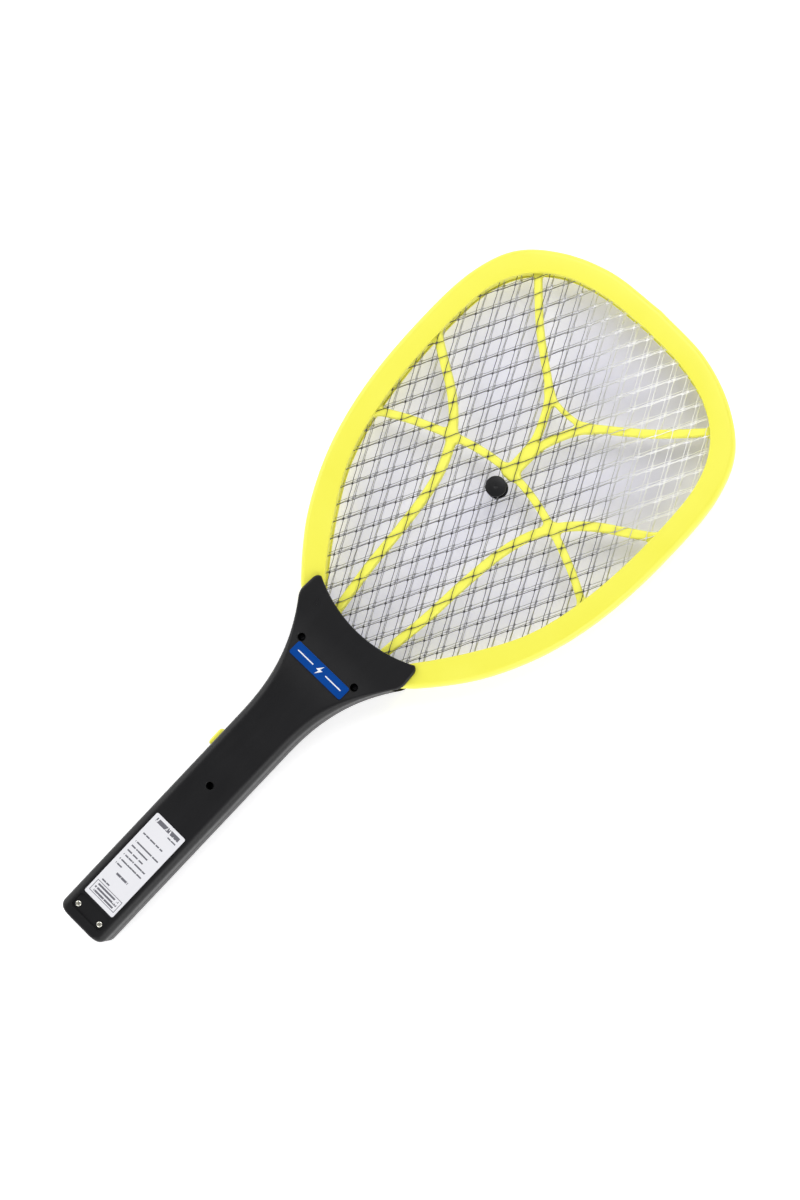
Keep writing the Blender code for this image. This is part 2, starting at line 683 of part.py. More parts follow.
def make_side_button():
    marker = joint_marker("button_axis", (PRESS_TIP_X, PRESS_Y, MID_Z))
    low, high = PRESS_Y - PRESS_HALF_LENGTH, PRESS_Y + PRESS_HALF_LENGTH
    flange_low, flange_high = PRESS_Y - FLANGE_HALF_LENGTH, PRESS_Y + FLANGE_HALF_LENGTH
    outer, inner = FLANGE_X
    shoulder_x = PRESS_TIP_X + PRESS_CHAMFER
    outline = [(inner, flange_low), (inner, flange_high), (outer, flange_high), (outer, high),
               (shoulder_x, high),
               (PRESS_TIP_X, high - PRESS_CHAMFER), (PRESS_TIP_X, low + PRESS_CHAMFER), (shoulder_x, low),
               (outer, low), (outer, flange_low)]
    node("side_button", prism(outline, *heights(BACK, -PRESS_HALF_HEIGHT, PRESS_HALF_HEIGHT)), YELLOW, marker)
    axis = (PRESS_Y, MID_Z)
    node("push_switch_plunger", rod(axis, PLUNGER_RADIUS, inner + GAP, PLUNGER_END_X, "X"), BLACK, marker)
    switch_y = (PRESS_Y - SWITCH_HALF_LENGTH, PRESS_Y + SWITCH_HALF_LENGTH)
    body = node("push_switch_body", box(SWITCH_X, switch_y, (BOARD_TOP, MID_Z + SWITCH_TOP_LOCAL)), BLACK)
    bore_radius, bore_end = SWITCH_BORE
    cut(body, rod(axis, bore_radius, SWITCH_X[0] - THROUGH, bore_end, "X"))
    node("button_spring", coil(axis, SPRING_RADIUS, SPRING_WIRE, *SPRING_X, SPRING_TURNS), STEEL)


def coil(axis, radius, wire, low, high, turns):
    """A compression spring along X, as a swept wire with few sides."""
    steps = STEPS_A_TURN * turns
    sections = []
    for step in range(steps + 1):
        angle = 2 * math.pi * turns * step / steps
        x = low + (high - low) * step / steps
        ring = []
        for corner in range(WIRE_SIDES):
            turn = 2 * math.pi * corner / WIRE_SIDES
            out = radius + wire * math.cos(turn)
            across, up = out * math.cos(angle), out * math.sin(angle)
            ring.append((x + wire * math.sin(turn), axis[0] + across, axis[1] + up))
        sections.append(ring)
    return loft(sections)


# ---------------------------------------------------------------- electronics

def on_board(name, place, look):
    x, y, tall = place
    return node(name, box(x, y, (BOARD_TOP, BOARD_TOP + tall)), look)


def make_board():
    low, high = BOARD_LOCAL
    node("circuit_board", box((-BOARD_X, BOARD_X), BOARD_Y, (MID_Z + low, MID_Z + high)), LAMINATE)
    core = on_board("transformer_core", TRANSFORMER_CORE, FERRITE)
    core_x = TRANSFORMER_CORE[0]
    bottom, top = [BOARD_TOP + height for height in CORE_WINDOW_HEIGHTS]
    cut(core, box((core_x[0] - THROUGH, core_x[1] + THROUGH), CORE_WINDOW_Y, (bottom, top)))
    winding_y = (CORE_WINDOW_Y[0] + GAP, CORE_WINDOW_Y[1] - GAP)
    node("transformer_winding", box(WINDING_X, winding_y, (bottom + GAP, top - GAP)), TAPE)
    on_board("storage_capacitor", STORAGE_CAPACITOR, FILM_RED)
    on_board("charging_capacitor", CHARGING_CAPACITOR, TAPE)
    on_board("transistor", TRANSISTOR, BLACK)
    on_board("bridge_rectifier", BRIDGE_RECTIFIER, BLACK)
    for stage, y in enumerate(MULTIPLIER_Y, start=1):
        x, height, radius, length = DISC_CAPACITOR
        disc = rod((x, BOARD_TOP + height), radius, y, y + length, "Y")
        node(f"multiplier_capacitor_{stage}", disc, CERAMIC_BLUE)
        x, height, radius, length = DIODE
        node(f"multiplier_diode_{stage}", rod((x, BOARD_TOP + height), radius, y, y + length, "Y"), BLACK)
    for number, y in enumerate(RESISTOR_Y, start=1):
        start_x, end_x, height, radius = RESISTOR
        node(f"resistor_{number}", rod((y, BOARD_TOP + height), radius, start_x, end_x, "X"), RESISTOR_TAN)
    node("indicator_led", rod((LED_X, LED_Y), LED_RADIUS, GAP, MID_Z + low - GAP), LED_RED)


def make_battery():
    for name, (half, y, z), look in (("battery", BATTERY, CELL_GREY), ("battery_pad", BATTERY_PAD, FOAM)):
        node(name, box((-half, half), y, z), look)


# ---------------------------------------------------------------- switches and plug

def sliding_knob(name, y, plate, post, marker):
    """A thumb plate that lies in its well, on a post that reaches through the slot."""
    low, high = KNOB_Z
    knob = node(name, slider_room(y, 0, plate, low, high), BLACK, marker)
    fuse(knob, slider_room(y, 0, post, high - GAP, post[2]))


def make_power_switch():
    marker = joint_marker("power_axis", (0, POWER_Y, KNOB_Z[0]))
    sliding_knob("power_slider", POWER_Y, POWER_PLATE, POWER_POST, marker)
    top = MID_Z + BOARD_LOCAL[0] - GAP
    body = slider_room(POWER_Y, POWER_TRAVEL, POWER_BODY, POWER_BODY_BOTTOM, top)
    groove = slider_room(POWER_Y, POWER_TRAVEL, POWER_SLOT, 0, POWER_GROOVE_TOP)
    cut(node("slide_switch_body", body, STEEL), groove)


def make_plug():
    marker = joint_marker("plug_axis", (0, PLUG_SLIDER_Y, PIN_Z))
    half, y, z = CARRIAGE
    carriage = node("plug_carriage", box((-half, half), y, z), BLACK, marker)
    sliding_knob("plug_thumb_slider", PLUG_SLIDER_Y, PLUG_PLATE, PLUG_POST, marker)
    for flank, word in FLANKS:
        x = flank * PIN_X
        cut(carriage, rod((x, PIN_Z), PLUG_PIN_RADIUS + GAP, y[0] - THROUGH, PIN_SOCKET_END_Y, "Y"))
        node(f"plug_pin_{word}", rod((x, PIN_Z), PLUG_PIN_RADIUS, *PLUG_PIN_Y, "Y"), BRASS, marker)
        strip = box((x - STRIP_HALF_WIDTH, x + STRIP_HALF_WIDTH), STRIP_Y, STRIP_Z)
        node(f"contact_strip_{word}", strip, BRASS)
    half, y, z = GUIDE
    guide = node("plug_guide", box((-half, half), y, z), BLACK)
    cut(guide, flank_rods(END_SCREW, SHANK_HOLE, z[0] - THROUGH, THICKNESS))


# ---------------------------------------------------------------- leads

def tube(path, radius, sides=6):
    """A lead that follows a smooth curve through its route's points."""
    points = [Vector(point) for point in path]
    sections = []
    for i, point in enumerate(points):
        along = (points[min(i + 1, len(points) - 1)] - points[max(i - 1, 0)]).normalized()
        across = along.cross(Vector((0, 0, 1))).normalized()
        up = across.cross(along)
        angles = [2 * math.pi * step / sides for step in range(sides)]
        sections.append([tuple(point + (across * math.cos(a) + up * math.sin(a)) * radius) for a in angles])
    return loft(sections)


def lead(start, end, steps=LEAD_STEPS):
    """A lead that leaves and arrives level, with a smooth change of height and side between."""
    path = []
    for step in range(steps + 1):
        share = step / steps
        smooth = share * share * (3 - 2 * share)
        path.append((start[0] + (end[0] - start[0]) * smooth, start[1] + (end[1] - start[1]) * share,
                     start[2] + (end[2] - start[2]) * smooth))
    return tube(path, LEAD_RADIUS)


def make_leads():
    top_y, bottom_y = BOARD_Y[1] + GAP, BOARD_Y[0] - GAP
    start_y = TAB_END_Y - GAP
    middle = lead((TAB_X["centre_net"], start_y, MID_Z), (0, top_y, LEAD_BOARD_Z))
    node("high_voltage_lead", middle, LEAD_RED)
    for side, word in SIDES:
        start = (TAB_X[f"{word}_net"], start_y, MID_Z + side * NET_LOCAL)
        node(f"{word}_net_lead", lead(start, (side * NET_LEAD_BOARD_X, top_y, LEAD_BOARD_Z)), LEAD_BLACK)
    battery_y = BATTERY[1][1] + GAP
    for flank, word in FLANKS:
        x = flank * BATTERY_LEAD_X
        battery = lead((x, battery_y, BATTERY_LEAD_Z), (x, bottom_y, LEAD_BOARD_Z))
        node(f"battery_lead_{word}", battery, LEAD_RED)
        start_x, end_x = MAINS_LEAD_X
        start = (flank * start_x, STRIP_Y[1], STRIP_Z[1])
        mains = lead(start, (flank * end_x, bottom_y, LEAD_BOARD_Z), MAINS_LEAD_STEPS)
        node(f"mains_lead_{word}", mains, LEAD_BLACK)


def main():
    for old in list(bpy.data.objects):
        bpy.data.objects.remove(old)
    make_hoop("back_ring", BACK)
    make_hoop("front_ring", FRONT)
    make_rib_frame("back_rib_frame", BACK)
    make_rib_frame("front_rib_frame", FRONT)
    make_net("back_net", NET_LOCAL)
    make_net("centre_net", 0.0)
    make_net("front_net", -NET_LOCAL)
    make_centre_button()
    make_back_shell()
    make_front_shell()
    make_label_and_badge()
    make_screws()
    make_side_button()
    make_board()
    make_battery()
    make_power_switch()
    make_plug()
    make_leads()


main()
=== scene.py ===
"""Rechargeable electric fly swatter, lying on its front face on a pale studio floor."""

import math

import bmesh
import bpy
import numpy as np
from mathutils import Matrix, Vector


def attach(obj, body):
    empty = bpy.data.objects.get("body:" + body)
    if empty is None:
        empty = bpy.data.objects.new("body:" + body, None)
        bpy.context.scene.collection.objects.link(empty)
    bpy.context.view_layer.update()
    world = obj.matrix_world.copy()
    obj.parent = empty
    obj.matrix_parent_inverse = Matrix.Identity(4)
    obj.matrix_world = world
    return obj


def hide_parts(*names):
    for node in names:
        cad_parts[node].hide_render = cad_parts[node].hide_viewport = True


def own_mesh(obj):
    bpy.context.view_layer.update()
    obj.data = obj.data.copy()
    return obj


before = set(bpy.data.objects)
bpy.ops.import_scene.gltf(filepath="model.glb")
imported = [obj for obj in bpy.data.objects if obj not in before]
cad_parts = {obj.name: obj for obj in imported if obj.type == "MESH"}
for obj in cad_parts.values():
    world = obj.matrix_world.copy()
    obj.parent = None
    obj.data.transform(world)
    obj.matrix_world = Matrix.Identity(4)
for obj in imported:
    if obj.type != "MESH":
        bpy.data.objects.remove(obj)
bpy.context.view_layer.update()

# ---------------------------------------------------------------- camera
# A camera on a boom, almost straight over the swatter's back and turned so that the
# handle runs up the picture to the right. Lengths are in metres from the aim, measured
# along the camera's own axes; angles are in degrees, turned about Z first.
camera_turn = {"Z": 43.37, "X": -2.44, "Y": 9.22}
camera_reach = Vector((0.0411, 0.0375, 1.491))
camera_aim = Vector((0.0, -0.0348, 0.014))
camera_lens = 75.3

turn = Matrix.Identity(3)
for axis, degrees in camera_turn.items():
    turn = Matrix.Rotation(math.radians(degrees), 3, axis) @ turn
camera = bpy.data.objects.new("camera", bpy.data.cameras.new("camera"))
camera.data.lens = camera_lens
camera.matrix_world = Matrix.Translation(turn @ camera_reach + camera_aim) @ turn.to_4x4()
bpy.context.scene.collection.objects.link(camera)
bpy.context.scene.camera = camera
# The plain view transform lets the bright yellow stay yellow instead of fading to cream.
bpy.context.scene.view_settings.view_transform = "Standard"

# ---------------------------------------------------------------- studio
# A light table: white paper that glows a little from below, under a dim ceiling with
# bright walls all round. One large soft box stands beyond the head and weaker ones at
# both sides of the handle.


class Flow:
    """A number or colour on its way through a tree, so that sums on it add their nodes."""

    def __init__(self, tree, socket):
        self.tree = tree
        self.socket = socket

    def sum(self, operation, first, second):
        return self.tree.node("ShaderNodeMath", {"operation": operation}, {0: first, 1: second})

    def __add__(self, other):
        return self.sum("ADD", self, other)

    def __sub__(self, other):
        return self.sum("SUBTRACT", self, other)

    def __rsub__(self, other):
        return self.sum("SUBTRACT", other, self)

    def __mul__(self, other):
        return self.sum("MULTIPLY", self, other)

    def __gt__(self, other):
        return self.sum("GREATER_THAN", self, other)

    def __lt__(self, other):
        return self.sum("LESS_THAN", self, other)

    __radd__ = __add__
    __rmul__ = __mul__


class Nodes:
    """A node tree that is put together node by node."""

    def __init__(self, tree):
        self.tree = tree

    def node(self, kind, settings, sockets, output=0):
        made = self.tree.nodes.new(kind)
        for name, value in settings.items():
            setattr(made, name, value)
        for key, value in sockets.items():
            self.feed(made.inputs[key], value)
        return Flow(self, made.outputs[output])

    def feed(self, socket, value):
        if isinstance(value, list):
            for one in value:
                self.tree.links.new(one.socket, socket)
        elif isinstance(value, Flow):
            self.tree.links.new(value.socket, socket)
        else:
            socket.default_value = value

    def part(self, vector, axis):
        """One axis of a vector."""
        return self.node("ShaderNodeSeparateXYZ", {}, {0: vector}, axis)


class Paint(Nodes):
    """A finish built from nodes, read in metres on the object itself."""

    def __init__(self, name, steady):
        self.material = bpy.data.materials.new(name)
        self.material.use_nodes = True
        super().__init__(self.material.node_tree)
        self.shader = self.tree.nodes["Principled BSDF"]
        self.place = self.node("ShaderNodeTexCoord", {}, {}, "Object")
        for name, value in steady.items():
            self.set(name, value)

    def set(self, name, value):
        self.feed(self.shader.inputs[name], value)

    def cloud(self, scale, detail=2.0, stretch=(1.0, 1.0, 1.0)):
        """Soft noise with about scale lumps to the metre, drawn out along an axis by stretch."""
        place = self.node("ShaderNodeMapping", {}, {"Vector": self.place, "Scale": stretch})
        return self.node("ShaderNodeTexNoise", {}, {"Vector": place, "Scale": scale, "Detail": detail})

    def blend(self, share, first, second):
        """From the first colour to the second as share goes from 0 to 1."""
        sockets = {0: share, 6: first, 7: second}
        return self.node("ShaderNodeMix", {"data_type": "RGBA"}, sockets, 2)

    def bump(self, height, depth):
        """Raises the surface by height times depth in metres."""
        self.set("Normal", self.node("ShaderNodeBump", {}, {"Height": height, "Distance": depth}))

    def between(self, value, low, high):
        """1 where low < value < high, else 0."""
        return (value > low) * (value < high)


def colour(red, green, blue):
    """A linear colour with full alpha."""
    return (red, green, blue, 1.0)


def rectangle(left, right, low, high):
    return [(left, low), (right, low), (right, high), (left, high)]


floor_drop = 0.0006
floor_half = 4.0
paper_glow = 0.45
paper = Paint("floor_paper", {"Roughness": 0.7, "Specular IOR Level": 0.2, "Emission Strength": paper_glow,
                              "Emission Color": colour(1.0, 1.0, 1.0)})
paper.set("Base Color", paper.blend(paper.cloud(3.0), colour(0.93, 0.93, 0.93), colour(0.95, 0.95, 0.95)))
floor_mesh = bpy.data.meshes.new("floor")
floor_points = [(x, y, -floor_drop) for x, y in rectangle(-floor_half, floor_half, -floor_half, floor_half)]
floor_mesh.from_pydata(floor_points, [], [(0, 1, 2, 3)])
floor_mesh.materials.append(paper.material)
floor = bpy.data.objects.new("floor", floor_mesh)
bpy.context.scene.collection.objects.link(floor)

world = bpy.data.worlds.new("studio")
world.use_nodes = True
bpy.context.scene.world = world
room = Nodes(world.node_tree)
direction = room.node("ShaderNodeTexCoord", {}, {}, "Generated")
ceiling = room.node("ShaderNodeMapRange", {"interpolation_type": "SMOOTHSTEP"},
                    {"Value": room.part(direction, 2), "From Min": 0.25, "From Max": 0.75})
wall_light, ceiling_light = colour(1.0, 1.0, 1.0), colour(0.14, 0.14, 0.15)
backdrop = room.node("ShaderNodeMix", {"data_type": "RGBA"}, {0: ceiling, 6: wall_light, 7: ceiling_light}, 2)
room.feed(world.node_tree.nodes["Background"].inputs["Color"], backdrop)

soft_boxes = {
    "key": ((-0.35, 1.05, 1.35), 0.9, 13.0),
    "right_fill": ((1.5, -0.3, 0.9), 1.0, 11.0),
    "left_fill": ((-1.5, -0.2, 1.0), 1.0, 9.0),
    "low_fill": ((0.2, -1.7, 1.0), 1.0, 9.0),
}
for name, (place, size, power) in soft_boxes.items():
    lamp = bpy.data.lights.new(name, "AREA")
    lamp.size = size
    lamp.energy = power
    box = bpy.data.objects.new(name, lamp)
    box.location = place
    box.rotation_euler = (-Vector(place)).to_track_quat("-Z", "Y").to_euler()
    bpy.context.scene.collection.objects.link(box)

# ---------------------------------------------------------------- hoop
# The head's hoop is moulded in two halves of glossy yellow plastic, screwed together
# through the fork. Each half is a channel 7.35 mm high with a rounded outer edge, and its
# inner lip folds over the edge of the outer net. Sizes are in millimetres from here on.
MM = 0.001
mid = 14.0
sides = {"back": 1, "front": -1}
casing = "casing"
parting = 0.15


def mix(start, end, low, high, t):
    return (start * (high - t) + end * (t - low)) / (high - low)


def curve(keys, steps):
    """A smooth line through the keys, without overshoot where they lie close together."""
    points = [Vector(key) for key in keys]
    points = [2 * points[0] - points[1]] + points + [2 * points[-1] - points[-2]]
    line = []
    for i in range(1, len(points) - 2):
        p = points[i - 1:i + 3]
        knots = [0.0]
        for a, b in zip(p, p[1:]):
            knots.append(knots[-1] + math.sqrt((b - a).length))
        for step in range(steps):
            t = knots[1] + (knots[2] - knots[1]) * step / steps
            a, b, c = [mix(p[k], p[k + 1], knots[k], knots[k + 1], t) for k in range(3)]
            d, e = mix(a, b, knots[0], knots[2], t), mix(b, c, knots[1], knots[3], t)
            line.append(mix(d, e, knots[1], knots[2], t))
    return line + [points[-2]]


def evenly(line, count):
    """The line again, as count equal steps."""
    lengths = [0.0]
    for a, b in zip(line, line[1:]):
        lengths.append(lengths[-1] + (b - a).length)
    targets = np.linspace(0, lengths[-1], count + 1)
    axes = [np.interp(targets, lengths, [point[axis] for point in line]) for axis in range(2)]
    return [Vector(pair) for pair in zip(*axes)]


def closed_loop(right_keys, floor_keys):
    """A clockwise loop: its right half down to the last key, straight across, and its left half."""
    right = evenly(curve(right_keys, 12), 150)
    right += evenly([Vector(right_keys[-1]), Vector(floor_keys)], 8)[1:]
    return right + [Vector((-p.x, p.y)) for p in reversed(right[1:-1])]


def moved_in(loop, distance):
    """The clockwise loop moved to its inside."""
    moved = []
    for before, here, after in zip(loop[-1:] + loop[:-1], loop, loop[1:] + loop[:1]):
        first, second = (here - before).normalized(), (after - here).normalized()
        normal = Vector((first.y + second.y, -first.x - second.x)).normalized()
        moved.append(here + normal * distance / max(0.5, normal.dot(Vector((second.y, -second.x)))))
    return moved


def piece(name, points, faces, paint, crease=35.0):
    """A mesh piece from millimetre points, its faces turned outwards."""
    mesh = bpy.data.meshes.new(name)
    mesh.from_pydata([Vector(point) * MM for point in points], [], faces)
    tidy = bmesh.new()
    tidy.from_mesh(mesh)
    bmesh.ops.remove_doubles(tidy, verts=tidy.verts, dist=0.5e-6)
    bmesh.ops.dissolve_degenerate(tidy, edges=tidy.edges, dist=0.5e-6)
    bmesh.ops.recalc_face_normals(tidy, faces=tidy.faces)
    tidy.to_mesh(mesh)
    tidy.free()
    made = bpy.data.objects.new(name, mesh)
    bpy.context.scene.collection.objects.link(made)
    if paint:
        mesh.materials.append(paint.material)
    return creased(made, crease)


def creased(made, crease=35.0):
    """Smooth faces with sharp edges where they meet at more than crease degrees."""
    made.data.shade_smooth()
    made.data.set_sharp_from_angle(angle=math.radians(crease))
    return made


def ring_faces(rows, columns, closed):
    """Quads over a grid of points whose columns go round; rows go round too if closed."""
    faces = []
    for row in range(rows if closed else rows - 1):
        for column in range(columns):
            after, above = (column + 1) % columns, (row + 1) % rows
            faces.append((row * columns + column, row * columns + after, above * columns + after,
                          above * columns + column))
    return faces


def skinned(name, sections, paint, crease=35.0, closed=False):
    """A solid through closed sections that all have the same number of points."""
    count = len(sections[0])
    points = [point for section in sections for point in section]
    faces = ring_faces(len(sections), count, closed)
    if not closed:
        faces += [tuple(range(count)), tuple(range(len(points) - count, len(points)))]
    return piece(name, points, faces, paint, crease)


def prism(name, outline, low, high, paint=None):
    """An outline raised from one height to another."""
    return skinned(name, [[(x, y, z) for x, y in outline] for z in (low, high)], paint)


def plain(made):
    """The piece with its modifiers worked into its mesh."""
    evaluated = made.evaluated_get(bpy.context.evaluated_depsgraph_get())
    mesh = bpy.data.meshes.new_from_object(evaluated)
    made.modifiers.clear()
    made.data = mesh
    return made


def carved(block, cutters, operation="DIFFERENCE"):
    """The block with each cutter taken out of it."""
    for cutter in cutters:
        modifier = block.modifiers.new("Carve", "BOOLEAN")
        modifier.operation = operation
        modifier.solver = "EXACT"
        modifier.object = cutter
    plain(block)
    for cutter in cutters:
        bpy.data.objects.remove(cutter)
    return creased(block)


def fitted(made, body, slot, *nodes):
    """The piece rides on its body and stands for the CAD nodes, which it hides; slot is not used."""
    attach(made, body)
    if nodes:
        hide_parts(*nodes)
    return made


def yellow_plastic(name, deep, pale):
    """Glossy yellow plastic that drifts between two tones."""
    paint = Paint(name, {"IOR": 1.5})
    drift, grain = paint.cloud(28.0, 3.0), paint.cloud(1400.0)
    paint.set("Base Color", paint.blend(drift, deep, pale))
    paint.set("Roughness", 0.30 + drift * 0.10 + grain * 0.06)
    paint.bump(grain + drift * 3.0, 0.00001)
    return paint


yellow = yellow_plastic("yellow_plastic", colour(0.88, 0.84, 0.07), colour(0.93, 0.90, 0.11))
# The ribs take a paler copy of the hoop's yellow: painted light that makes up for the shade of the nets and hoop
# over them.
rib_yellow = yellow_plastic("rib_yellow", colour(0.94, 0.92, 0.10), colour(0.97, 0.95, 0.14))

hoop_keys = [(0, 250), (38, 247), (68, 235.5), (89, 218), (99.5, 192), (102.5, 145), (99, 96), (89, 56),
             (71, 19), (47.5, -10.5), (41.5, -16), (34.8, -22), (30, -29.5), (25.8, -37.5), (24, -41)]
opening_keys = [(0, 236), (33, 233.5), (58, 225.5), (75, 211.5), (85, 191), (88.3, 148), (84.5, 97),
                (75.5, 61), (60, 32), (38, 1), (29, -9), (18, -14)]
hoop_loop = closed_loop(hoop_keys, (0, -41))
opening_loop = closed_loop(opening_keys, (0, -14))
hoop_top, hoop_wall, lip_bottom = 7.5, 2.0, 4.45
outer_round, inner_round = 3.4, 0.9
crown_sink, seam_soft = 0.35, 0.3
neck_screw = Vector((21.8, -34.8))
sleeve_hole = 3.4
tab_notch = (14.0, -45.0, -38.0)


def arc(radius, first, last, steps):
    """Points on a quarter round, as pairs across and up from its centre."""
    angles = [math.radians(first + (last - first) * step / steps) for step in range(steps + 1)]
    return [(radius * math.cos(angle), radius * math.sin(angle)) for angle in angles]


def round_outline(x, y, radius, count=32):
    angles = [2 * math.pi * (step + 0.5) / count for step in range(count)]
    return [(x + radius * math.cos(angle), y + radius * math.sin(angle)) for angle in angles]


def at_flanks(name, place, radius, low, high, count=32):
    """The same round block on the right and left of the middle."""
    return [prism(name, round_outline(flank * place[0], place[1], radius, count), low, high)
            for flank in (1, -1)]


def hoop_half(name, side):
    """A channel that is lofted from the hoop's outline, at share 0, to the opening's, at share 1."""
    round_low, crown = hoop_top - outer_round, hoop_top - crown_sink
    outer_edge = [(0, outer_round - across, round_low + up) for across, up in arc(outer_round, 0, 90, 8)]
    inner_edge = [(1, across - inner_round, crown - inner_round + up)
                  for across, up in arc(inner_round, 90, 0, 4)]
    profile = [(0, seam_soft, parting), (0, 0, parting + seam_soft), *outer_edge,
               (0.35, outer_round, hoop_top - 0.05), (0.7, outer_round / 2, hoop_top - crown_sink / 2),
               *inner_edge, (1, 0, lip_bottom + 0.1), (1, -0.1, lip_bottom),
               (0, hoop_wall, lip_bottom), (0, hoop_wall, parting)]
    columns = []
    for share, distance, height in profile:
        outer, inner = moved_in(hoop_loop, distance), moved_in(opening_loop, distance)
        columns.append([(*(a * (1 - share) + b * share), mid + side * height) for a, b in zip(outer, inner)])
    half = skinned(name, list(zip(*columns)), yellow, closed=True)
    half_out, low_y, high_y = tab_notch
    notch = rectangle(-half_out, half_out, low_y, high_y)
    cutters = [prism("notch", notch, mid, mid + side * (lip_bottom + 0.02))]
    return carved(half, cutters + at_flanks("hole", neck_screw, sleeve_hole, mid - 9, mid + 9))


for word, side in sides.items():
    fitted(hoop_half(f"hoop_{word}", side), casing, "yellow_plastic", f"{word}_ring")

# ---------------------------------------------------------------- card
# A light grey card lies on the table under the head, so that the nets show against it. Its glow is painted light,
# and it glows less beyond the disc, as painted shade. Its edge is hidden under the hoop.
# Where the nets get a painted highlight and the card a dimmer glow as painted shade.
glint_zone_slope, glint_zone_span = (10.0, 12.0), (1.95, 2.85)


def beyond_disc(paint):
    """0 from the handle to the centre disc, rising to 1 at the far right of the head, where the nets get a
    painted highlight and the card a painted shade.
    """
    lie = paint.part(paint.place, 1) * glint_zone_slope[1] + paint.part(paint.place, 0) * glint_zone_slope[0]
    return paint.node("ShaderNodeMapRange", {"interpolation_type": "SMOOTHSTEP"},
                      {"Value": lie, "From Min": glint_zone_span[0], "From Max": glint_zone_span[1]})


card_grow, card_thick = -7.0, 0.1
# Painted light: the card glows though it is no lamp; beyond the disc its glow is dimmer, as painted shade.
card_paper = Paint("card_paper", {"Roughness": 0.8, "Specular IOR Level": 0.2, "Emission Strength": 0.36})
card_paper.set("Emission Color", card_paper.blend(beyond_disc(card_paper), colour(0.80, 0.81, 1.0),
                                                  colour(0.22, 0.23, 0.36)))
card_paper.set("Base Color", card_paper.blend(card_paper.cloud(6.0), colour(0.66, 0.65, 0.70),
                                              colour(0.70, 0.69, 0.74)))
card_low = -floor_drop / MM
prism("card", moved_in(opening_loop, card_grow), card_low, card_low + card_thick, card_paper)

# ---------------------------------------------------------------- ribs
# Two flat frames of the same yellow plastic keep the three nets apart. Each is moulded in
# one piece: a band that the hoop clamps, two arms that meet over the middle, two long
# side legs and a cross bow, with soft edges and filleted corners.
leg_width, arm_width, bridge_width = 5.4, 4.7, 3.2
rib_layer = (0.5, 3.45)
rib_edge = 0.95
rib_fillet = 4.0
rib_grid = 0.8
band_gap, band_hole = 0.6, 2.0
arm = [(73, 220.5), (47.5, 195.5), (32.5, 183.4), (16.8, 171.2), (10.2, 162.0), (5.2, 151.5), (2.6, 144),
       (1.5, 119)]
bridge = [(-16.8, 171.2), (-8, 168.6), (0, 168.0), (8, 168.6), (16.8, 171.2)]
side_leg = [(93, 153), (74, 141), (60, 132), (49, 122.5), (40.5, 112), (33, 97), (28.5, 80), (25.5, 56),
            (23, 22), (19.5, -6), (18.4, -17)]
bow = [(90, 88), (84, 93), (72, 100), (59, 106), (40.5, 113), (20, 118.5), (0, 120.5)]


def flipped(keys):
    return [(-x, y) for x, y in keys]


bow += flipped(reversed(bow[:-1]))


def reach_of(line, x, y):
    """Distance of each grid point from a line."""
    nearest = np.full(x.shape, 1e3)
    for a, b in zip(line, line[1:]):
        along = b - a
        share = np.clip(((x - a.x) * along.x + (y - a.y) * along.y) / along.length_squared, 0, 1)
        nearest = np.minimum(nearest, np.hypot(x - a.x - share * along.x, y - a.y - share * along.y))
    return nearest


def depth_in(loop, x, y):
    """Distance from a closed loop, negative inside it."""
    inside = np.zeros(x.shape, bool)
    for a, b in zip(loop, loop[1:] + loop[:1]):
        if a.y != b.y:
            crosses = (a.y > y) != (b.y > y)
            inside ^= crosses & (x < a.x + (b.x - a.x) * (y - a.y) / (b.y - a.y))
    return np.where(inside, -1, 1) * reach_of(loop + loop[:1], x, y)


def filleted(first, second, radius):
    """Joins two shapes with a fillet where they meet."""
    near = np.maximum(radius - np.abs(first - second), 0) / radius
    return np.minimum(first, second) - near ** 2 * radius / 4


def rib_plan():
    """The frame in plan as a grid of distances from its edge, negative inside."""
    x, y = np.meshgrid(np.arange(-102, 102.1, rib_grid), np.arange(-43, 250, rib_grid), indexing="ij")
    arms = np.minimum(reach_of(curve(arm, 6), x, y), reach_of(curve(flipped(arm), 6), x, y)) - arm_width / 2
    others = [reach_of(curve(keys, 6), x, y) - width / 2 for keys, width in (
        (side_leg, leg_width), (flipped(side_leg), leg_width), (bow, arm_width), (bridge, bridge_width))]
    within_hoop = depth_in(moved_in(hoop_loop, hoop_wall + band_gap), x, y)
    band = np.maximum(within_hoop, -depth_in(moved_in(opening_loop, -band_gap), x, y))
    plan = arms
    for shape in others + [band]:
        plan = filleted(plan, shape, rib_fillet)
    for flank in (-1, 1):
        plan = np.maximum(plan, band_hole - np.hypot(x - flank * neck_screw.x, y - neck_screw.y))
    return x, y, plan


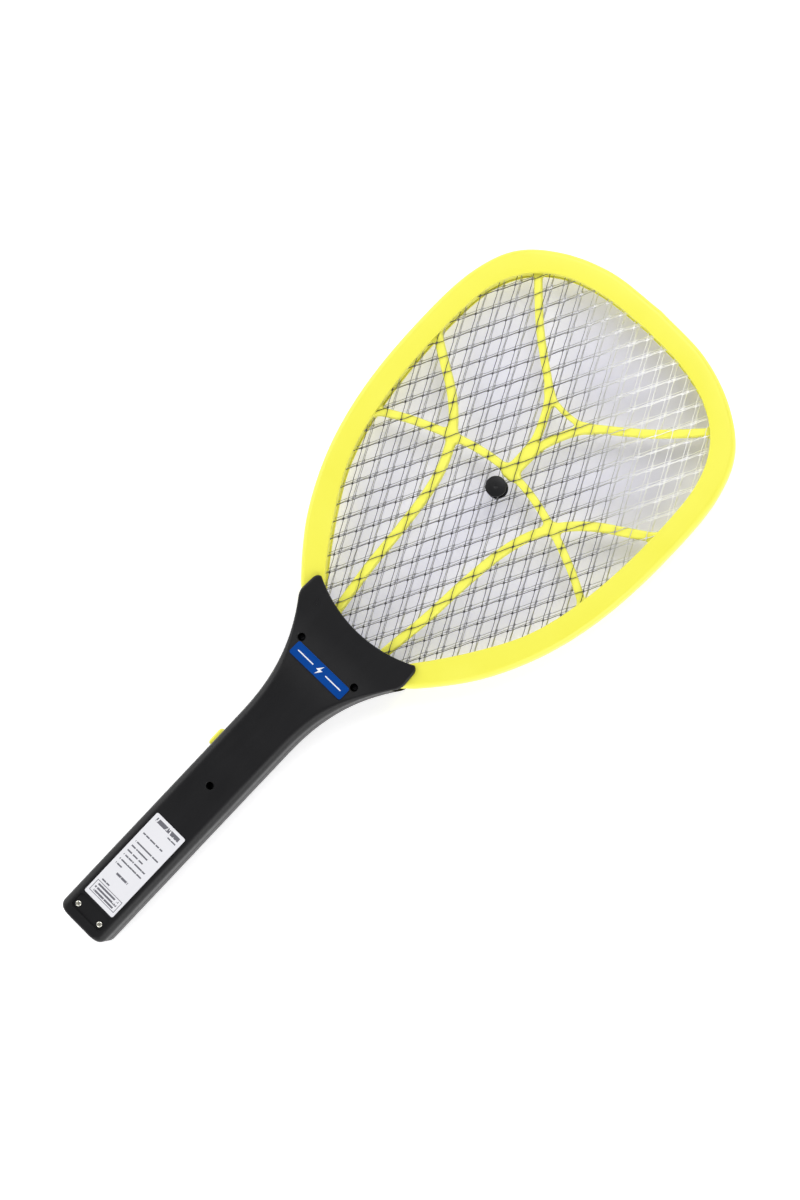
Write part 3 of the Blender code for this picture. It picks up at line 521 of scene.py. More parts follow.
def plate_from_plan(name, x, y, plan, low, high, paint):
    """Cuts the grid's triangles along the plan's edge and gives both faces soft edges."""
    middle, half = (low + high) / 2, (high - low) / 2
    points, found, faces = [], {}, []

    def add(px, py, depth):
        sunk = max(0.0, rib_edge - depth)
        rise = half - rib_edge + math.sqrt(rib_edge ** 2 - sunk ** 2)
        points.extend([(px, py, middle + rise), (px, py, middle - rise)])
        return len(points) - 2

    def corner(key):
        if key not in found:
            found[key] = add(x[key], y[key], -plan[key])
        return found[key]

    def crossing(a, b):
        key = (min(a, b), max(a, b))
        if key not in found:
            share = plan[a] / (plan[a] - plan[b])
            found[key] = add(x[a] + (x[b] - x[a]) * share, y[a] + (y[b] - y[a]) * share, 0.0)
        return found[key]

    within = plan < 0
    busy = within[:-1, :-1] | within[1:, :-1] | within[:-1, 1:] | within[1:, 1:]
    for i, j in np.argwhere(busy).tolist():
        for corners in (((i, j), (i + 1, j), (i + 1, j + 1)), ((i, j), (i + 1, j + 1), (i, j + 1))):
            kept, edge = [], []
            for a, b in zip(corners, corners[1:] + corners[:1]):
                if within[a]:
                    kept.append(corner(a))
                if within[a] != within[b]:
                    kept.append(crossing(a, b))
                    edge.append((within[a], kept[-1]))
            if len(kept) > 2:
                faces.append(tuple(kept))
                faces.append(tuple(index + 1 for index in reversed(kept)))
            if len(edge) == 2:
                first, second = [index for leaving, index in sorted(edge, reverse=True)]
                faces.append((second, first, first + 1, second + 1))
    return piece(name, points, faces, paint, 50.0)


grid_x, grid_y, rib_shape = rib_plan()
for word, side in sides.items():
    low, high = sorted(mid + side * height for height in rib_layer)
    # Painted light: the ribs wear the paler copy of the yellow.
    ribs = plate_from_plan(f"rib_frame_{word}", grid_x, grid_y, rib_shape, low, high, rib_yellow)
    fitted(ribs, casing, "yellow_plastic", f"{word}_rib_frame")

# ---------------------------------------------------------------- nets
# Three nets of expanded aluminium sheet, 4 mm apart: the outer two are earthed and the
# middle one carries the charge. Each strand is a twisted ribbon 0.38 mm wide; two of them
# lie side by side in every knuckle, where they are wider. Each net ends in a flat tab.
# A net is its height, its tab's place, its lattice's shift and its seed.
cell_width, cell_height = 10.7, 19.0
strand_width, strand_thickness = 0.38, 0.30
net_middle = 108.5
net_reach, net_pin = 5.0, 3.0
net_waviness = (0.5, 0.5, 0.12)
nets = {
    "back_net": (3.95, 10.0, (0.0, 0.0), 3),
    "centre_net": (0.0, 0.0, (0.3, 3.2), 8),
    "front_net": (-3.95, -10.0, (-0.7, 5.2), 5),
}
net_tab = (2.5, -19.0, -45.0, 0.4)


class Recipe(Nodes):
    """A Geometry Nodes tree with named inputs."""

    def __init__(self, name, **inputs):
        super().__init__(bpy.data.node_groups.new(name, "GeometryNodeTree"))
        self.keys = {}
        self.tree.interface.new_socket(name="Made", in_out="OUTPUT", socket_type="NodeSocketGeometry")
        for label, kind in inputs.items():
            item = self.tree.interface.new_socket(name=label, in_out="INPUT", socket_type=f"NodeSocket{kind}")
            self.keys[label] = item.identifier
        self.source = self.tree.nodes.new("NodeGroupInput")

    def given(self, label):
        return Flow(self, self.source.outputs[label])

    def ends_in(self, geometry):
        """Finishes the tree: real geometry in its material."""
        real = self.node("GeometryNodeRealizeInstances", {}, {"Geometry": geometry})
        painted = self.node("GeometryNodeSetMaterial", {},
                            {"Geometry": real, "Material": self.given("Finish")})
        self.feed(self.tree.nodes.new("NodeGroupOutput").inputs[0], painted)

    def made(self, name, **values):
        """A plain mesh piece from the recipe."""
        carrier = bpy.data.objects.new(name, bpy.data.meshes.new(name))
        bpy.context.scene.collection.objects.link(carrier)
        modifier = carrier.modifiers.new("Recipe", "NODES")
        modifier.node_group = self.tree
        for label, value in values.items():
            modifier[self.keys[label]] = value
        return plain(carrier)


def knuckle_element():
    """Two ribbons that meet at the knuckle, each a quarter cell long either way."""
    points, faces = [], []
    ribbon = [(0.5, 0.5, 24, 1.0), (0.36, 0.33, 34, 1.0), (0.2, 0.165, 22, 1.0), (0.055, 0.06, 0, 1.6)]
    ribbon += [(across, -along, -tilt, grown) for across, along, tilt, grown in reversed(ribbon)]
    for flank in (-1, 1):
        start = len(points)
        for across, along, tilt, grown in ribbon:
            lean = math.radians(tilt * flank)
            centre = Vector((flank * across * cell_width / 2, along * cell_height / 2, 0.07 * flank))
            flat = Vector((math.cos(lean), 0, math.sin(lean))) * strand_width * grown / 2
            tall = Vector((-math.sin(lean), 0, math.cos(lean))) * strand_thickness / 2
            points += [centre + flat + tall, centre - flat + tall, centre - flat - tall, centre + flat - tall]
        faces += [tuple(start + index for index in face) for face in ring_faces(len(ribbon), 4, False)]
        faces += [tuple(range(end, end + 4)) for end in (start, start + 4 * len(ribbon) - 4)]
    element = piece("knuckle", points, faces, None)
    element.hide_render = True
    return element


def net_recipe():
    recipe = Recipe("expanded_net", Outline="Object", Knuckle="Object", Shift="Vector", Height="Float",
                    Reach="Float", Pin="Float", Waviness="Vector", Seed="Float", Finish="Material")
    columns, rows = 20, 16
    lattice = recipe.node("GeometryNodeMeshGrid", {}, {
        "Size X": columns * cell_width * MM, "Size Y": rows * cell_height * MM,
        "Vertices X": columns + 1, "Vertices Y": rows + 1}, "Mesh")
    half_cell = (cell_width * MM / 2, cell_height * MM / 2, 0.0)
    second = recipe.node("GeometryNodeTransform", {}, {"Geometry": lattice, "Translation": half_cell})
    both = recipe.node("GeometryNodeJoinGeometry", {}, {"Geometry": [lattice, second]})
    placed = recipe.node("GeometryNodeSetPosition", {}, {"Geometry": both, "Offset": recipe.given("Shift")})
    outline = recipe.node("GeometryNodeObjectInfo", {}, {"Object": recipe.given("Outline")}, "Geometry")
    away = recipe.node("GeometryNodeProximity", {"target_element": "FACES"}, {0: outline}, "Distance")
    place = recipe.node("GeometryNodeInputPosition", {}, {})
    from_pin = recipe.node("ShaderNodeVectorMath", {"operation": "DISTANCE"},
                           {0: place, 1: (0.0, net_middle * MM, 0.0)}, "Value")
    outside = recipe.node("FunctionNodeBooleanMath", {"operation": "OR"}, {
        0: away > recipe.given("Reach"), 1: from_pin < recipe.given("Pin")})
    kept = recipe.node("GeometryNodeDeleteGeometry", {"domain": "POINT"},
                       {"Geometry": placed, "Selection": outside})
    knuckle = recipe.node("GeometryNodeObjectInfo", {}, {"Object": recipe.given("Knuckle")}, "Geometry")
    strung = recipe.node("GeometryNodeInstanceOnPoints", {}, {"Points": kept, "Instance": knuckle})
    real = recipe.node("GeometryNodeRealizeInstances", {}, {"Geometry": strung})
    wave = recipe.node("ShaderNodeTexNoise", {"noise_dimensions": "4D"},
                       {"Vector": place, "W": recipe.given("Seed"), "Scale": 45.0, "Detail": 1.0}, "Color")
    centred = recipe.node("ShaderNodeVectorMath", {"operation": "SUBTRACT"}, {0: wave, 1: (0.5, 0.5, 0.5)})
    swing = recipe.node("ShaderNodeVectorMath", {"operation": "MULTIPLY"},
                        {0: centred, 1: recipe.given("Waviness")})
    level = recipe.node("ShaderNodeCombineXYZ", {}, {"Z": recipe.given("Height")})
    lifted = recipe.node("ShaderNodeVectorMath", {"operation": "ADD"}, {0: swing, 1: level})
    recipe.ends_in(recipe.node("GeometryNodeSetPosition", {}, {"Geometry": real, "Offset": lifted}))
    return recipe


def net_paint(name, dull, bright):
    """Aluminium between a dull and a bright tone at random, with a painted highlight beyond the disc: there it
    turns pale and less metallic, standing in for glints.
    """
    paint = Paint(name, {})
    tarnish = paint.cloud(220.0, 3.0)
    # Painted highlight: beyond the disc the strands turn pale and less metallic, standing in for glints.
    drift_and_glint = beyond_disc(paint)
    paint.set("Base Color", paint.blend(drift_and_glint, paint.blend(tarnish, dull, bright), colour(0.93, 0.93, 0.94)))
    paint.set("Metallic", 1.0 - drift_and_glint * 0.92)
    paint.set("Roughness", 0.24 + tarnish * 0.18)
    paint.bump(paint.cloud(1800.0), 0.00003)
    return paint


outer_metal = net_paint("net_metal", colour(0.05, 0.05, 0.055), colour(0.22, 0.22, 0.23))
inner_metal = net_paint("inner_net_metal", colour(0.34, 0.34, 0.36), colour(0.66, 0.66, 0.67))
net_finish = {"back_net": outer_metal, "centre_net": inner_metal, "front_net": inner_metal}

knuckle = knuckle_element()
opening_area = prism("opening_area", opening_loop, 0.0, 0.001)
expanded_net = net_recipe()
for name, (local, tab_x, shift, seed) in nets.items():
    z = mid + local
    net = expanded_net.made(
        f"{name}_strands", Outline=opening_area, Knuckle=knuckle, Reach=net_reach * MM, Pin=net_pin * MM,
        Shift=(shift[0] * MM, (net_middle + shift[1]) * MM, 0.0), Height=z * MM,
        Waviness=[2 * amount * MM for amount in net_waviness], Seed=float(seed),
        Finish=net_finish[name].material)
    half, high_y, low_y, thick = net_tab
    outline = rectangle(tab_x - half, tab_x + half, low_y, high_y)
    tab = prism("tab", outline, z - thick / 2, z + thick / 2)
    merged = bmesh.new()
    merged.from_mesh(net.data)
    merged.from_mesh(tab.data)
    merged.to_mesh(net.data)
    merged.free()
    bpy.data.objects.remove(tab)
    fitted(creased(net, 30.0), casing, "net_metal", name)
bpy.data.objects.remove(knuckle)
bpy.data.objects.remove(opening_area)

# ---------------------------------------------------------------- centre button
# Two black discs, pinned to each other through the three nets and two spacers, keep the
# middle of the nets from touching. They are turned shapes with a soft edge and a faint
# dimple where the mould was filled.
black = Paint("black_plastic", {"IOR": 1.48, "Specular IOR Level": 0.36})
black_drift = black.cloud(40.0, 4.0)
black_grain = black.cloud(2300.0)
black_rub = black.cloud(160.0, 5.0, (1.0, 0.12, 1.0))
black.set("Base Color", black.blend(black_rub, colour(0.004, 0.004, 0.0045), colour(0.009, 0.009, 0.010)))
black.set("Roughness", 0.34 + black_drift * 0.12 + black_grain * 0.10)
black.bump(black_grain, 0.00004)

disc_radius, disc_height, disc_start = 6.35, 1.5, 4.45
disc_profile = [(0, 0.0), (disc_radius - 0.3, 0.0), (disc_radius, 0.3), (disc_radius, disc_height - 0.6),
                (disc_radius - 0.18, disc_height - 0.18), (disc_radius - 0.6, disc_height),
                (1.3, disc_height), (1.15, disc_height - 0.12), (0, disc_height - 0.2)]
disc_place = (0, net_middle)
pin_radius, pin_bore, pin_length, pin_sink, bore_depth = 1.5, 1.8, 9.6, 0.3, 1.2
bush_radius, bush_edge = 4.0, 0.3


def turned(name, profile, centre, start, direction, paint, axis="Z", count=40):
    """A shape turned about an axis from pairs of radius and distance along it."""
    sections = []
    for radius, along in profile:
        run = start + direction * along
        ring = round_outline(*centre, radius, count)
        sections.append([(x, y, run) if axis == "Z" else (x, run, y) for x, y in ring])
    return skinned(name, sections, paint)


def middle_rod(name, radius, low, high, paint=None):
    """A round block on the disc's axis."""
    return prism(name, round_outline(*disc_place, radius, 40), low, high, paint)


for word, side in sides.items():
    start = mid + side * disc_start
    disc = turned(f"centre_disc_{word}_face", disc_profile, disc_place, start, side, black)
    if side > 0:
        pin_top = start + pin_sink
        carved(disc, [middle_rod("pin", pin_radius, pin_top - pin_length, pin_top, black)], "UNION")
    else:
        carved(disc, [middle_rod("bore", pin_bore, start - bore_depth, start + 1)])
    fitted(disc, casing, "black_plastic", f"centre_disc_{word}")

for word, side in sides.items():
    start, stop = sorted(mid + side * height for height in rib_layer)
    tall, narrow = stop - start, bush_radius - bush_edge
    bush_profile = [(pin_bore, 0), (narrow, 0), (bush_radius, bush_edge), (bush_radius, tall - bush_edge),
                    (narrow, tall), (pin_bore, tall)]
    bush = turned(f"centre_spacer_{word}_bush", bush_profile, disc_place, start, 1, None)
    carved(bush, [middle_rod("hollow", pin_bore, start - 1, stop + 1)])
    bush.data.materials.append(black.material)
    fitted(bush, casing, "black_plastic", f"centre_spacer_{word}")

# ---------------------------------------------------------------- handle shells
# The handle is two shells of satin black plastic, 2.2 mm thick, held by five screws from
# the back. It flares into a fork whose round bite shows the hoop; the grip is thicker
# than the fork and has soft shoulders. A fine groove runs where the shells meet.
grip_half_width, corner, horn_lean = 17.5, Vector((42.6, -16.0)), -0.07
end_y, flare_start, flare_power, horn_tip_y = -250.0, -95.0, 2.45, -0.6
corner_soft, horn_soft, end_soft, end_edge = 3.0, 4.0, 5.0, 1.4
fork_height, rise_start, rise_length = 10.25, -22.0, 40.0
shoulder, fork_shoulder, shoulder_lead, seam_chamfer = 5.0, 1.6, 0.4, 0.35
wall = 2.2
bite_radius, bite_low_y, bite_chamfer = 86.0, {1: -10.0, -1: -13.0}, 0.45
bite_out, bite_end_y, room_end_y = 45.0, 15.0, 5.0
fork_ceiling, fork_wall_y, fork_room_y = 7.8, -21.0, -46.0
mid_screw, end_screw = Vector((0.0, -135.7)), Vector((8.9, -240.6))
head_hole, shank_hole, hole_chamfer = 2.45, 1.7, 0.3
neck_seat, mid_seat = 5.2, 4.0
end_pocket = (12.25, -243.9, -233.9, 0.9, 2.4)
label_pocket = (12.15, -232.7, -168.3, 0.5, 1.3)
mould_mark, mark_width, mark_depth = (-29.3, -13.5, 1.9), 0.25, 0.12
press_y, press_half_length, press_half_height = -113.5, 5.9, 3.9
press_gap, press_corner, window_x = 0.3, 1.4, (-22.0, -14.3)
fine_rows_y, back_face, end_hole_depth = -70.0, 2 * mid, 7.0
boss_radius, boss_top, sleeve_radius, sleeve_span = 4.0, 12.9, 3.1, (4.0, 9.0)


def raw_half_width(y):
    if y > corner.y:
        return corner.x + horn_lean * (y - corner.y)
    share = max(0.0, (y - flare_start) / (corner.y - flare_start))
    return grip_half_width + (corner.x - grip_half_width) * share ** flare_power


def rounded_off(distance, radius):
    """How much a quarter round takes away at a distance from the end it rounds."""
    rest = min(max(radius - distance, 0.0), radius)
    return radius - math.sqrt(radius ** 2 - rest ** 2)


def half_width(y):
    """Half the handle's width, with its corners softened."""
    steps = [raw_half_width(y + corner_soft * step / 4) for step in range(-4, 5)]
    width = sum(steps) / len(steps) if y > flare_start else raw_half_width(y)
    return width - rounded_off(y - end_y, end_soft) - rounded_off(horn_tip_y - y, horn_soft)


def grip_share(y):
    """0 on the fork, 1 on the grip."""
    share = min(1.0, max(0.0, (rise_start - y) / rise_length))
    return share * share * (3 - 2 * share)


def face_height(y):
    """Height of the handle's face above the middle of the handle."""
    return fork_height + (mid - fork_height) * grip_share(y)


def shell_section(y, side):
    wide, high = half_width(y), face_height(y) - rounded_off(y - end_y, end_edge)
    radius = fork_shoulder + (shoulder - fork_shoulder) * grip_share(y)
    turn = [(wide - radius + across, high - radius + up) for across, up in arc(radius, 0, 90, 9)]
    flat = radius + shoulder_lead
    right = [(wide - seam_chamfer, parting), (wide, parting + seam_chamfer), (wide, high - flat), *turn,
             (wide - flat, high)]
    return [(x, y, mid + side * z) for x, z in right + flipped(reversed(right))]


def room_section(y, side):
    wide, high = half_width(y) - wall, face_height(y) - wall
    return [(x, y, mid + side * z) for x, z in ((wide, -1), (wide, high), (-wide, high), (-wide, -1))]


def spaced(low, high, count):
    return [low + (high - low) * step / count for step in range(count + 1)]


def soft_rectangle(half, low, high, radius):
    """A rectangle in plan with round corners."""
    turns = [((half - radius, high - radius), 0), ((radius - half, high - radius), 90),
             ((radius - half, low + radius), 180), ((half - radius, low + radius), 270)]
    return [(x + across, y + up) for (x, y), first in turns
            for across, up in arc(radius, first, first + 90, 5)]


def bite(side):
    """The round bite between the horns, chamfered at the face."""
    sections = []
    for height, grown in ((-1, 0), (fork_height - bite_chamfer, 0), (fork_height + 1, bite_chamfer + 1)):
        radius = bite_radius + grown
        reach = math.asin(bite_out / radius)
        middle_y = bite_low_y[side] + bite_radius
        line = [(radius * math.sin(a), middle_y - radius * math.cos(a)) for a in spaced(-reach, reach, 60)]
        sections.append([(x, y, mid + side * height) for x, y in line + [(bite_out, bite_end_y), (-bite_out, bite_end_y)]])
    return skinned("bite", sections, None)


def fork_room(side):
    """The room for the hoop's tongue, open between the horns and on both flanks."""
    right = [(half_width(y) - wall, y) for y in spaced(fork_room_y, fork_wall_y, 8)]
    right += [(bite_out, fork_wall_y), (bite_out, room_end_y)]
    low, high = sorted((mid - side, mid + side * fork_ceiling))
    return prism("fork_room", right + flipped(reversed(right)), low, high)


def sunk_hole(place, seat, face):
    """A screw hole from the back: shank, seat for the head, and a fine chamfer at the face."""
    profile = [(0, -1), (shank_hole, -1), (shank_hole, seat), (head_hole, seat),
               (head_hole, face - hole_chamfer), (head_hole + hole_chamfer + 1, face + 1), (0, face + 1)]
    return turned("sunk_hole", profile, place, mid, 1, None)


def shell_block(name, side):
    """A hollow shell with its bite, the hoop's room and the button's window, and its screw boss."""
    rows = [end_y + end_soft * (1 - math.cos(math.radians(angle))) for angle in range(0, 91, 10)]
    rows += spaced(flare_start, fine_rows_y, 12)[:-1] + spaced(fine_rows_y, rise_start, 48)[:-1]
    rows += spaced(rise_start, horn_tip_y - 0.02, 44)
    shell = skinned(name, [shell_section(y, side) for y in rows], black)
    room_rows = [end_y + wall] + spaced(flare_start, fork_room_y, 12)
    room = skinned("room", [room_section(y, side) for y in room_rows], None)
    half_length, half_height = press_half_length + press_gap, press_half_height + press_gap
    press = soft_rectangle(half_height, -half_length, half_length, press_corner)
    window = skinned("window", [[(x, press_y + b, mid + a) for a, b in press] for x in window_x], None)
    carved(shell, [room, fork_room(side), bite(side), window])
    low, high = sorted((mid + side * parting, mid + side * boss_top))
    return shell, prism("boss", round_outline(*mid_screw, boss_radius), low, high)


def pocket(half, low, high, depth, radius):
    """A shallow pocket in the grip's back face."""
    return prism("pocket", soft_rectangle(half, low, high, radius), back_face - depth, back_face + 1)


back_shell, boss = shell_block("handle_shell_back", 1)
sleeves = at_flanks("sleeve", neck_screw, sleeve_radius, mid + sleeve_span[0], mid + sleeve_span[1])
carved(back_shell, [boss] + sleeves, "UNION")
cutters = [sunk_hole((flank * neck_screw.x, neck_screw.y), neck_seat, face_height(neck_screw.y))
           for flank in (-1, 1)]
cutters += [sunk_hole(mid_screw, mid_seat, mid), pocket(*end_pocket), pocket(*label_pocket)]
cutters += at_flanks("hole", end_screw, shank_hole, back_face - end_hole_depth, back_face + 1)
x, y, radius = mould_mark
mark_profile = [(radius - mark_width, -mark_depth), (radius, -mark_depth), (radius, 1),
                (radius - mark_width, 1), (radius - mark_width, -mark_depth)]
cutters.append(turned("mark", mark_profile, (x, y), mid + face_height(y), 1, None))
carved(back_shell, cutters)
fitted(back_shell, casing, "black_plastic", "back_shell")

# The front shell has blind screw holes, four posts under the circuit board, a well and a
# slot for each slider, a hole for the lamp and two in the end for the plug's pins.
power_y, power_travel, power_well, power_slot = -89.0, 4.0, (4.2, 4.5), (1.5, 1.6)
plug_y, plug_travel, plug_well, plug_slot = -217.0, 19.0, (6.0, 6.5), (2.0, 3.4)
well_depth, lamp_place, lamp_radius = 1.2, (7.0, -76.0), 1.5
plug_pin_x, plug_pin_z, plug_pin_radius = 9.5, 9.0, 2.0
blind_z, post_x, post_rows, post_radius, post_top = 4.5, 10.5, (-126.0, -68.0), 1.6, 6.7

front_shell, boss = shell_block("handle_shell_front", -1)
bosses = [boss] + at_flanks("sleeve", neck_screw, sleeve_radius, mid - sleeve_span[1], mid - sleeve_span[0])
for y in post_rows:
    bosses += at_flanks("post", (post_x, y), post_radius, wall / 2, post_top, 16)
carved(front_shell, bosses, "UNION")
cutters = at_flanks("hole", neck_screw, shank_hole, blind_z, mid + 1)
cutters.append(prism("hole", round_outline(*mid_screw, shank_hole), blind_z, mid + 1))
for y, travel, well, slot in ((power_y, power_travel, power_well, power_slot),
                              (plug_y, plug_travel, plug_well, plug_slot)):
    for (half, reach), radius, low, high in ((well, 1.2, -1, well_depth), (slot, 1.0, 0, 2 * wall)):
        cutters.append(prism("slot", soft_rectangle(half, y - travel - reach, y + reach, radius), low, high))
cutters.append(prism("lamp_hole", round_outline(*lamp_place, lamp_radius + 0.3), -1, 2 * wall))
pin_hole = plug_pin_radius + 0.3
hole_profile = [(0, -1), (pin_hole + 0.4, -1), (pin_hole, 0.5), (pin_hole, 5), (0, 5)]
cutters += [turned("pin_hole", hole_profile, (flank * plug_pin_x, plug_pin_z), end_y, 1, None, "Y")
            for flank in (-1, 1)]
carved(front_shell, cutters)
fitted(front_shell, casing, "black_plastic", "front_shell")

# ---------------------------------------------------------------- screws
# Five cross-head screws hold the shells: two dark ones deep in the neck, through the
# hoop, one in the middle of the grip, and two short zinc-plated ones in the end pocket.
screw_head, end_screw_head, screw_shank = 2.1, 1.75, 1.2
recess_long, recess_wide = 0.95, 0.30


def screw_steel(name, dull, bright, roughness):
    """Steel whose tone and gloss drift together."""
    paint = Paint(name, {"Metallic": 1.0})
    drift_and_glint = paint.cloud(900.0, 3.0)
    paint.set("Base Color", paint.blend(drift_and_glint, dull, bright))
    paint.set("Roughness", roughness + drift_and_glint * 0.22)
    paint.bump(paint.cloud(3000.0), 0.00002)
    return paint


zinc = screw_steel("zinc_plate", colour(0.74, 0.72, 0.62), colour(0.93, 0.92, 0.84), 0.18)
dark_steel = screw_steel("oiled_steel", colour(0.03, 0.03, 0.033), colour(0.07, 0.07, 0.075), 0.35)


def screw_pattern(name, head, head_height, length, paint):
    """A screw whose head sits on height 0, with a cross recess."""
    top = head_height
    profile = [(0, -length), (0.4, -length), (screw_shank, 1.6 - length), (screw_shank, 0), (head, 0),
               (head, top * 0.45), (head - 0.12, top * 0.7), (head - 0.45, top * 0.9), (head - 0.9, top),
               (0, top)]
    pattern = turned(name, profile, (0, 0), 0, 1, paint, count=28)
    cross = []
    for a, b in ((recess_long, recess_wide), (recess_wide, recess_long)):
        sections = [[(x * a * k, y * b * k, z) for x, y in rectangle(-1, 1, -1, 1)]
                    for z, k in ((top - min(0.9, top * 0.8), 0.55), (top + 0.2, 1.05))]
        cross.append(skinned("cross", sections, None))
    pattern.hide_render = True
    return carved(pattern, cross)


def screw_recipe():
    recipe = Recipe("screws", Screw="Object", Left="Vector", Right="Vector", Seed="Int", Finish="Material")
    seats = recipe.node("GeometryNodeMeshLine", {"mode": "END_POINTS"}, {
        "Count": 2, "Start Location": recipe.given("Left"), "Offset": recipe.given("Right")}, "Mesh")
    screw = recipe.node("GeometryNodeObjectInfo", {}, {"Object": recipe.given("Screw")}, "Geometry")
    turn = recipe.node("FunctionNodeRandomValue", {"data_type": "FLOAT_VECTOR"}, {
        0: (0.0, 0.0, 0.0), 1: (0.0, 0.0, math.pi / 2), "Seed": recipe.given("Seed")})
    recipe.ends_in(recipe.node("GeometryNodeInstanceOnPoints", {}, {
        "Points": seats, "Instance": screw, "Rotation": turn}))
    return recipe


neck_seat_z, mid_seat_z, end_seat_z = mid + neck_seat + 0.15, mid + mid_seat + 0.15, 2 * mid - 0.75
long_screw = screw_pattern("long_screw", screw_head, 1.9, 14.3, dark_steel)
short_screw = screw_pattern("short_screw", end_screw_head, 0.7, 7.7, zinc)
screws = screw_recipe()
seats = {
    "neck_screw": (long_screw, neck_screw, neck_seat_z, 4, dark_steel),
    "end_screw": (short_screw, end_screw, end_seat_z, 11, zinc),
}
for name, (pattern, place, seat_z, seed, paint) in seats.items():
    made = screws.made(f"{name}s", Screw=pattern, Left=(-place.x * MM, place.y * MM, seat_z * MM),
                       Right=(place.x * MM, place.y * MM, seat_z * MM), Seed=seed, Finish=paint.material)
    fitted(creased(made), casing, "zinc_steel", f"{name}_left", f"{name}_right")
bpy.data.objects.remove(short_screw)
long_screw.data.transform(Matrix.Translation(Vector((mid_screw.x, mid_screw.y, mid_seat_z)) * MM))
long_screw.hide_render = False
long_screw.name = "grip_screw"
fitted(long_screw, casing, "zinc_steel", "mid_screw")

# ---------------------------------------------------------------- label
# A white film label lies in a shallow pocket on the grip. Its print is only grey bars
# that stand for lines of small type, one of them larger, and a ruled box at the bottom.
label_half, label_low, label_high, label_bottom, label_thick = 11.85, -232.4, -168.6, 27.8, 0.15
print_rows = [
    (-9.4, 9.2, -171.9, 2.3), (2.2, 9.4, -175.2, 0.7), (-9.6, 6.4, -183.3, 0.8), (-9.6, 9.0, -189.8, 0.8),
    (-9.6, 3.4, -193.3, 0.8), (-9.6, 3.0, -196.9, 0.8), (-9.6, 8.8, -200.2, 0.8), (-9.6, 8.2, -203.7, 0.8),
    (-9.6, -4.8, -207.1, 0.8), (-4.6, 4.6, -211.6, 1.2), (-8.6, -2.6, -220.0, 0.8), (-8.4, 8.4, -223.6, 1.0),
    (-8.8, 8.8, -225.9, 1.0), (-8.0, 8.0, -228.1, 1.0),
]
bold = 0.6
rule_box = (10.3, -229.8, -221.7, 0.4)

film = Paint("label_film", {"Coat Weight": 0.25, "Coat Roughness": 0.2})
film_x, film_y = film.part(film.place, 0), film.part(film.place, 1)
words = film.cloud(620.0, 1.0, (1.0, 0.22, 0.0)) > 0.38
ink = 0.0
for low_x, high_x, row_y, tall in print_rows:
    row = film.between(film_y, (row_y - tall * bold) * MM, (row_y + tall * bold) * MM)
    ink = ink + row * film.between(film_x, low_x * MM, high_x * MM)
half, low, high, rule = rule_box
outer = film.between(film_x, -half * MM, half * MM) * film.between(film_y, low * MM, high * MM)
inner = (film.between(film_x, (rule - half) * MM, (half - rule) * MM)
         * film.between(film_y, (low + rule) * MM, (high - rule) * MM))
print_mask = ink * words + outer * (1.0 - inner)
film_tone = film.blend(film.cloud(90.0), colour(0.80, 0.80, 0.83), colour(0.84, 0.84, 0.87))
film.set("Base Color", film.blend(print_mask * 0.85, film_tone, colour(0.03, 0.03, 0.05)))
film.set("Roughness", 0.38 + film.cloud(500.0) * 0.1)
film.bump(film.cloud(60.0), 0.00008)
outline = soft_rectangle(label_half, label_low, label_high, 1.1)
label = prism("rating_label_film", outline, label_bottom, label_bottom + label_thick, film)
fitted(label, casing, "label_paper", "rating_label")

# ---------------------------------------------------------------- badge
# A glossy blue band is stuck across the fork and follows its slope. It carries a plain
# white flash between two thin rules, as raised print.
badge_half, badge_low, badge_high, badge_gap, badge_thick, badge_corner = 21.0, -46.0, -37.1, 0.3, 0.4, 1.3

blue = Paint("badge_gloss", {"Specular IOR Level": 0.15, "Coat Weight": 0.05, "Coat Roughness": 0.08})
blue_drift = blue.cloud(70.0)
blue.set("Base Color", blue.blend(blue_drift, colour(0.0, 0.045, 0.25), colour(0.0, 0.060, 0.32)))
blue.set("Roughness", 0.25 + blue_drift * 0.1)
blue.bump(blue.cloud(150.0), 0.00005)
print_white = Paint("badge_print", {"Coat Weight": 0.4})
print_white.set("Base Color", print_white.blend(print_white.cloud(300.0), colour(0.82, 0.84, 0.88),
                                                colour(0.92, 0.93, 0.95)))
print_white.set("Roughness", 0.3 + print_white.cloud(800.0) * 0.1)


def badge_row(y):
    edge = min(y - badge_low, badge_high - y)
    half = badge_half - rounded_off(edge, badge_corner)
    bottom = mid + face_height(y) + badge_gap
    return [(x, y, z) for x, z in rectangle(-half, half, bottom, bottom + badge_thick)]


edge_rows = [badge_low + badge_corner * (1 - math.cos(math.radians(angle))) for angle in range(0, 91, 15)]
badge_rows = edge_rows + spaced(edge_rows[-1], badge_low + badge_high - edge_rows[-1], 8)[1:]
badge_rows += [badge_low + badge_high - y for y in reversed(edge_rows[:-1])]
badge = skinned("badge_band", [badge_row(y) for y in badge_rows], blue)
fitted(badge, casing, "badge_blue", "badge_plate")


def raised_print(name, outline):
    """Print that stands 0.05 mm proud of the badge and follows it."""
    bottom = mid + badge_gap + badge_thick
    sections = [[(x, y, bottom + face_height(y) + up) for x, y in outline] for up in (0.02, 0.07)]
    fitted(skinned(name, sections, print_white, 20.0), casing, "label_paper")


badge_mid_y = (badge_low + badge_high) / 2
rule_span, rule_half = (5.0, 17.5), 0.35
flash = [(1.0, 3.4), (-2.1, -0.5), (-0.2, -0.5), (-1.0, -3.4), (2.1, 0.6), (0.2, 0.6)]
raised_print("badge_flash", [(x, badge_mid_y + y) for x, y in flash])
for word, flank in (("left", -1), ("right", 1)):
    low_x, high_x = sorted(flank * x for x in rule_span)
    raised_print(f"badge_rule_{word}", rectangle(low_x, high_x, badge_mid_y - rule_half, badge_mid_y + rule_half))

